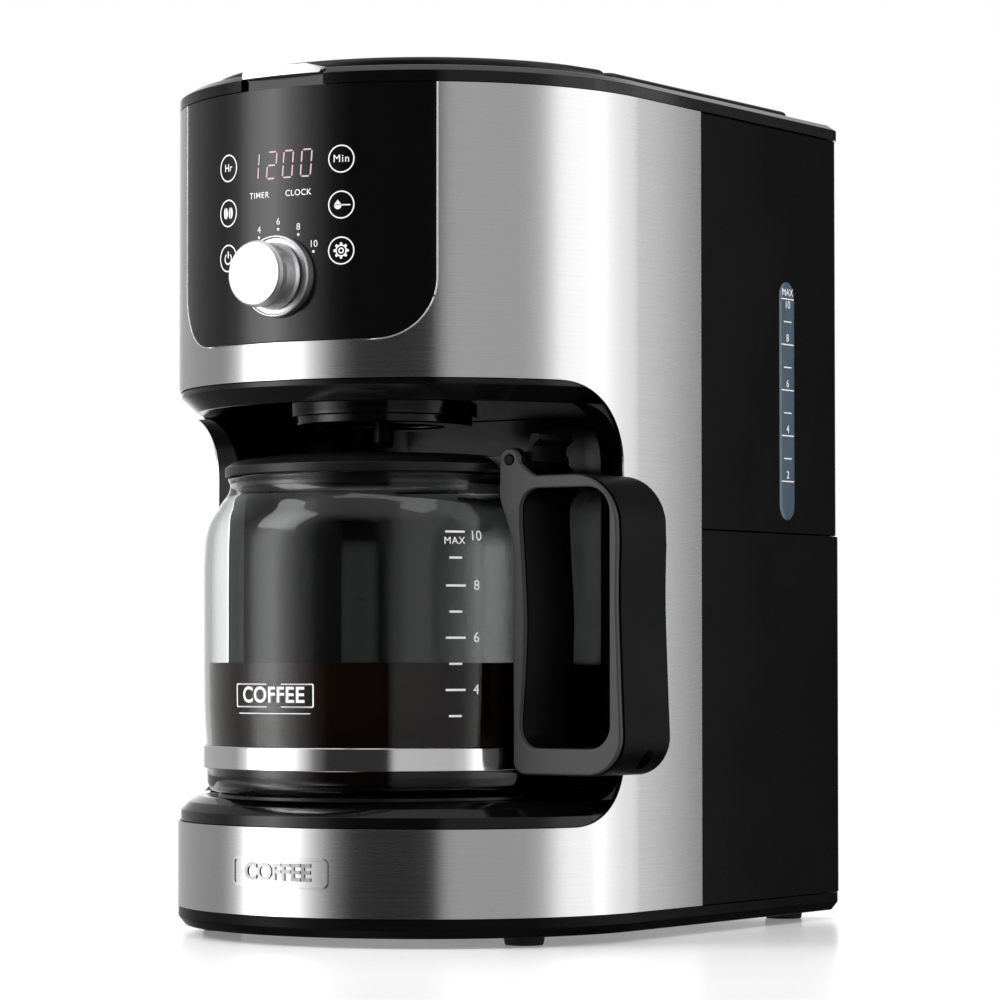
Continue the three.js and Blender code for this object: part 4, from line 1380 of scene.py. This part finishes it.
def make_world():
    world = bpy.data.worlds.new("studio")
    bpy.context.scene.world = world
    world.use_nodes = True
    tree = world.node_tree
    new, link = tree.nodes.new, tree.links.new
    background = tree.nodes["Background"]
    where = new("ShaderNodeTexCoord")
    split = new("ShaderNodeSeparateXYZ")
    link(where.outputs["Generated"], split.inputs["Vector"])

    flip = new("ShaderNodeMath")
    flip.operation = "MULTIPLY"
    flip.inputs[1].default_value = -1
    link(split.outputs["Y"], flip.inputs[0])
    azimuth = new("ShaderNodeMath")
    azimuth.operation = "ARCTAN2"
    link(split.outputs["X"], azimuth.inputs[0])
    link(flip.outputs[0], azimuth.inputs[1])
    turn = new("ShaderNodeMapRange")
    turn.inputs["From Min"].default_value = -math.pi
    turn.inputs["From Max"].default_value = math.pi
    link(azimuth.outputs[0], turn.inputs["Value"])

    peak = max(value for _, value in STUDIO)
    curve = new("ShaderNodeFloatCurve")
    points = curve.mapping.curves[0].points
    for k, (angle, value) in enumerate(STUDIO):
        place_at = ((angle + 180) / 360, value / peak)
        if k < 2:
            points[k].location = place_at
        else:
            points.new(*place_at)
    for point in points:
        point.handle_type = "VECTOR"
    curve.mapping.update()
    link(turn.outputs["Result"], curve.inputs["Value"])
    sides = new("ShaderNodeMath")
    sides.operation = "MULTIPLY"
    sides.inputs[1].default_value = peak
    link(curve.outputs[0], sides.inputs[0])

    # Overhead the room is an even soft white.
    rise = new("ShaderNodeMapRange")
    rise.interpolation_type = "SMOOTHSTEP"
    rise.inputs["From Min"].default_value = 0.6
    rise.inputs["From Max"].default_value = 0.92
    link(split.outputs["Z"], rise.inputs["Value"])
    blend = new("ShaderNodeMix")
    blend.data_type = "FLOAT"
    blend.inputs[3].default_value = 0.9
    link(rise.outputs["Result"], blend.inputs[0])
    link(sides.outputs[0], blend.inputs[2])

    # The soft boxes fade out below the level of the table.
    sink = new("ShaderNodeMapRange")
    sink.interpolation_type = "SMOOTHSTEP"
    sink.inputs["From Min"].default_value = -0.4
    sink.inputs["From Max"].default_value = -0.06
    sink.inputs["To Min"].default_value = 0.3
    link(split.outputs["Z"], sink.inputs["Value"])
    room = new("ShaderNodeMath")
    room.operation = "MULTIPLY"
    link(blend.outputs[0], room.inputs[0])
    link(sink.outputs["Result"], room.inputs[1])

    paths = new("ShaderNodeLightPath")
    seen = new("ShaderNodeMix")
    seen.data_type = "FLOAT"
    seen.inputs[3].default_value = 1.0
    link(paths.outputs["Is Camera Ray"], seen.inputs[0])
    link(room.outputs[0], seen.inputs[2])
    link(seen.outputs[0], background.inputs["Strength"])
    background.inputs["Color"].default_value = (1, 1, 1, 1)


SIDE_BOX_PLACE = (469.6, 425.5, 200)
SIDE_BOX_AIM = (234.5, 41.6, 200)
SIDE_BOX_WIDTH = 320
SIDE_BOX_HEIGHT = 750
SIDE_BOX_BRIGHTNESS = 0.85


def make_lights():
    for name, place_mm, aim_mm, size, power in (
        ("key", (-700, -700, 900), (0, 100, 150), 0.7, 9.0),
        ("top", (100, 150, 1200), (0, 120, 200), 1.0, 10.0),
    ):
        light = bpy.data.lights.new(name, "AREA")
        light.size = size
        light.energy = power
        lamp = bpy.data.objects.new(name, light)
        bpy.context.scene.collection.objects.link(lamp)
        lamp.location = at(*place_mm)
        lamp.rotation_euler = (at(*aim_mm) - lamp.location).to_track_quat("-Z", "Y").to_euler()
        lamp.visible_camera = False
        lamp.visible_glossy = False

    # A tall box close to the right-hand side: the flat steel shows its soft rear edge.
    light = bpy.data.lights.new("side_box", "AREA")
    light.shape = "RECTANGLE"
    light.size = SIDE_BOX_WIDTH * MM
    light.size_y = SIDE_BOX_HEIGHT * MM
    light.energy = SIDE_BOX_BRIGHTNESS * math.pi * light.size * light.size_y
    lamp = bpy.data.objects.new("side_box", light)
    bpy.context.scene.collection.objects.link(lamp)
    lamp.location = at(*SIDE_BOX_PLACE)
    lamp.rotation_euler = (at(*SIDE_BOX_AIM) - lamp.location).to_track_quat("-Z", "Y").to_euler()
    lamp.visible_camera = False
    lamp.visible_diffuse = False
    lamp.visible_transmission = False


def make_floor():
    s = Shader("pale_floor", (0.8, 0.8, 0.8), 0.22)
    slow = s.noise(3.0, 2.0, 0.5)
    s.vary_roughness(slow, 0.2, 0.26)
    s.set("Emission Color", (1, 1, 1, 1))
    s.set("Emission Strength", 0.2)
    side = 6.0

    def build(work):
        corners = [work.verts.new((x, y, 0)) for x, y in ((-side, -side), (side, -side), (side, side), (-side, side))]
        work.faces.new(corners)

    floor = new_object("floor", build)
    floor.data.materials.append(s.material)
    floor.visible_glossy = False
    floor.visible_transmission = False


def make_camera():
    camera = bpy.data.objects.new("camera", bpy.data.cameras.new("camera"))
    bpy.context.scene.collection.objects.link(camera)
    camera.data.lens = LENS
    camera.data.sensor_width = 36
    camera.data.clip_end = 50
    camera.location = at(*CAMERA_PLACE)
    camera.rotation_euler = (math.radians(90 + CAMERA_PITCH), 0, math.radians(CAMERA_AZIMUTH))
    bpy.context.scene.camera = camera
    bpy.context.scene.view_settings.view_transform = "Standard"


make_base()
make_skins()
make_bay()
make_top()
make_panel()
make_dial()
make_badge()
make_window()
make_carafe()
make_handle()
make_carafe_lid()
make_inner()
dress_carried_nodes()
make_world()
make_lights()
make_floor()
make_camera()
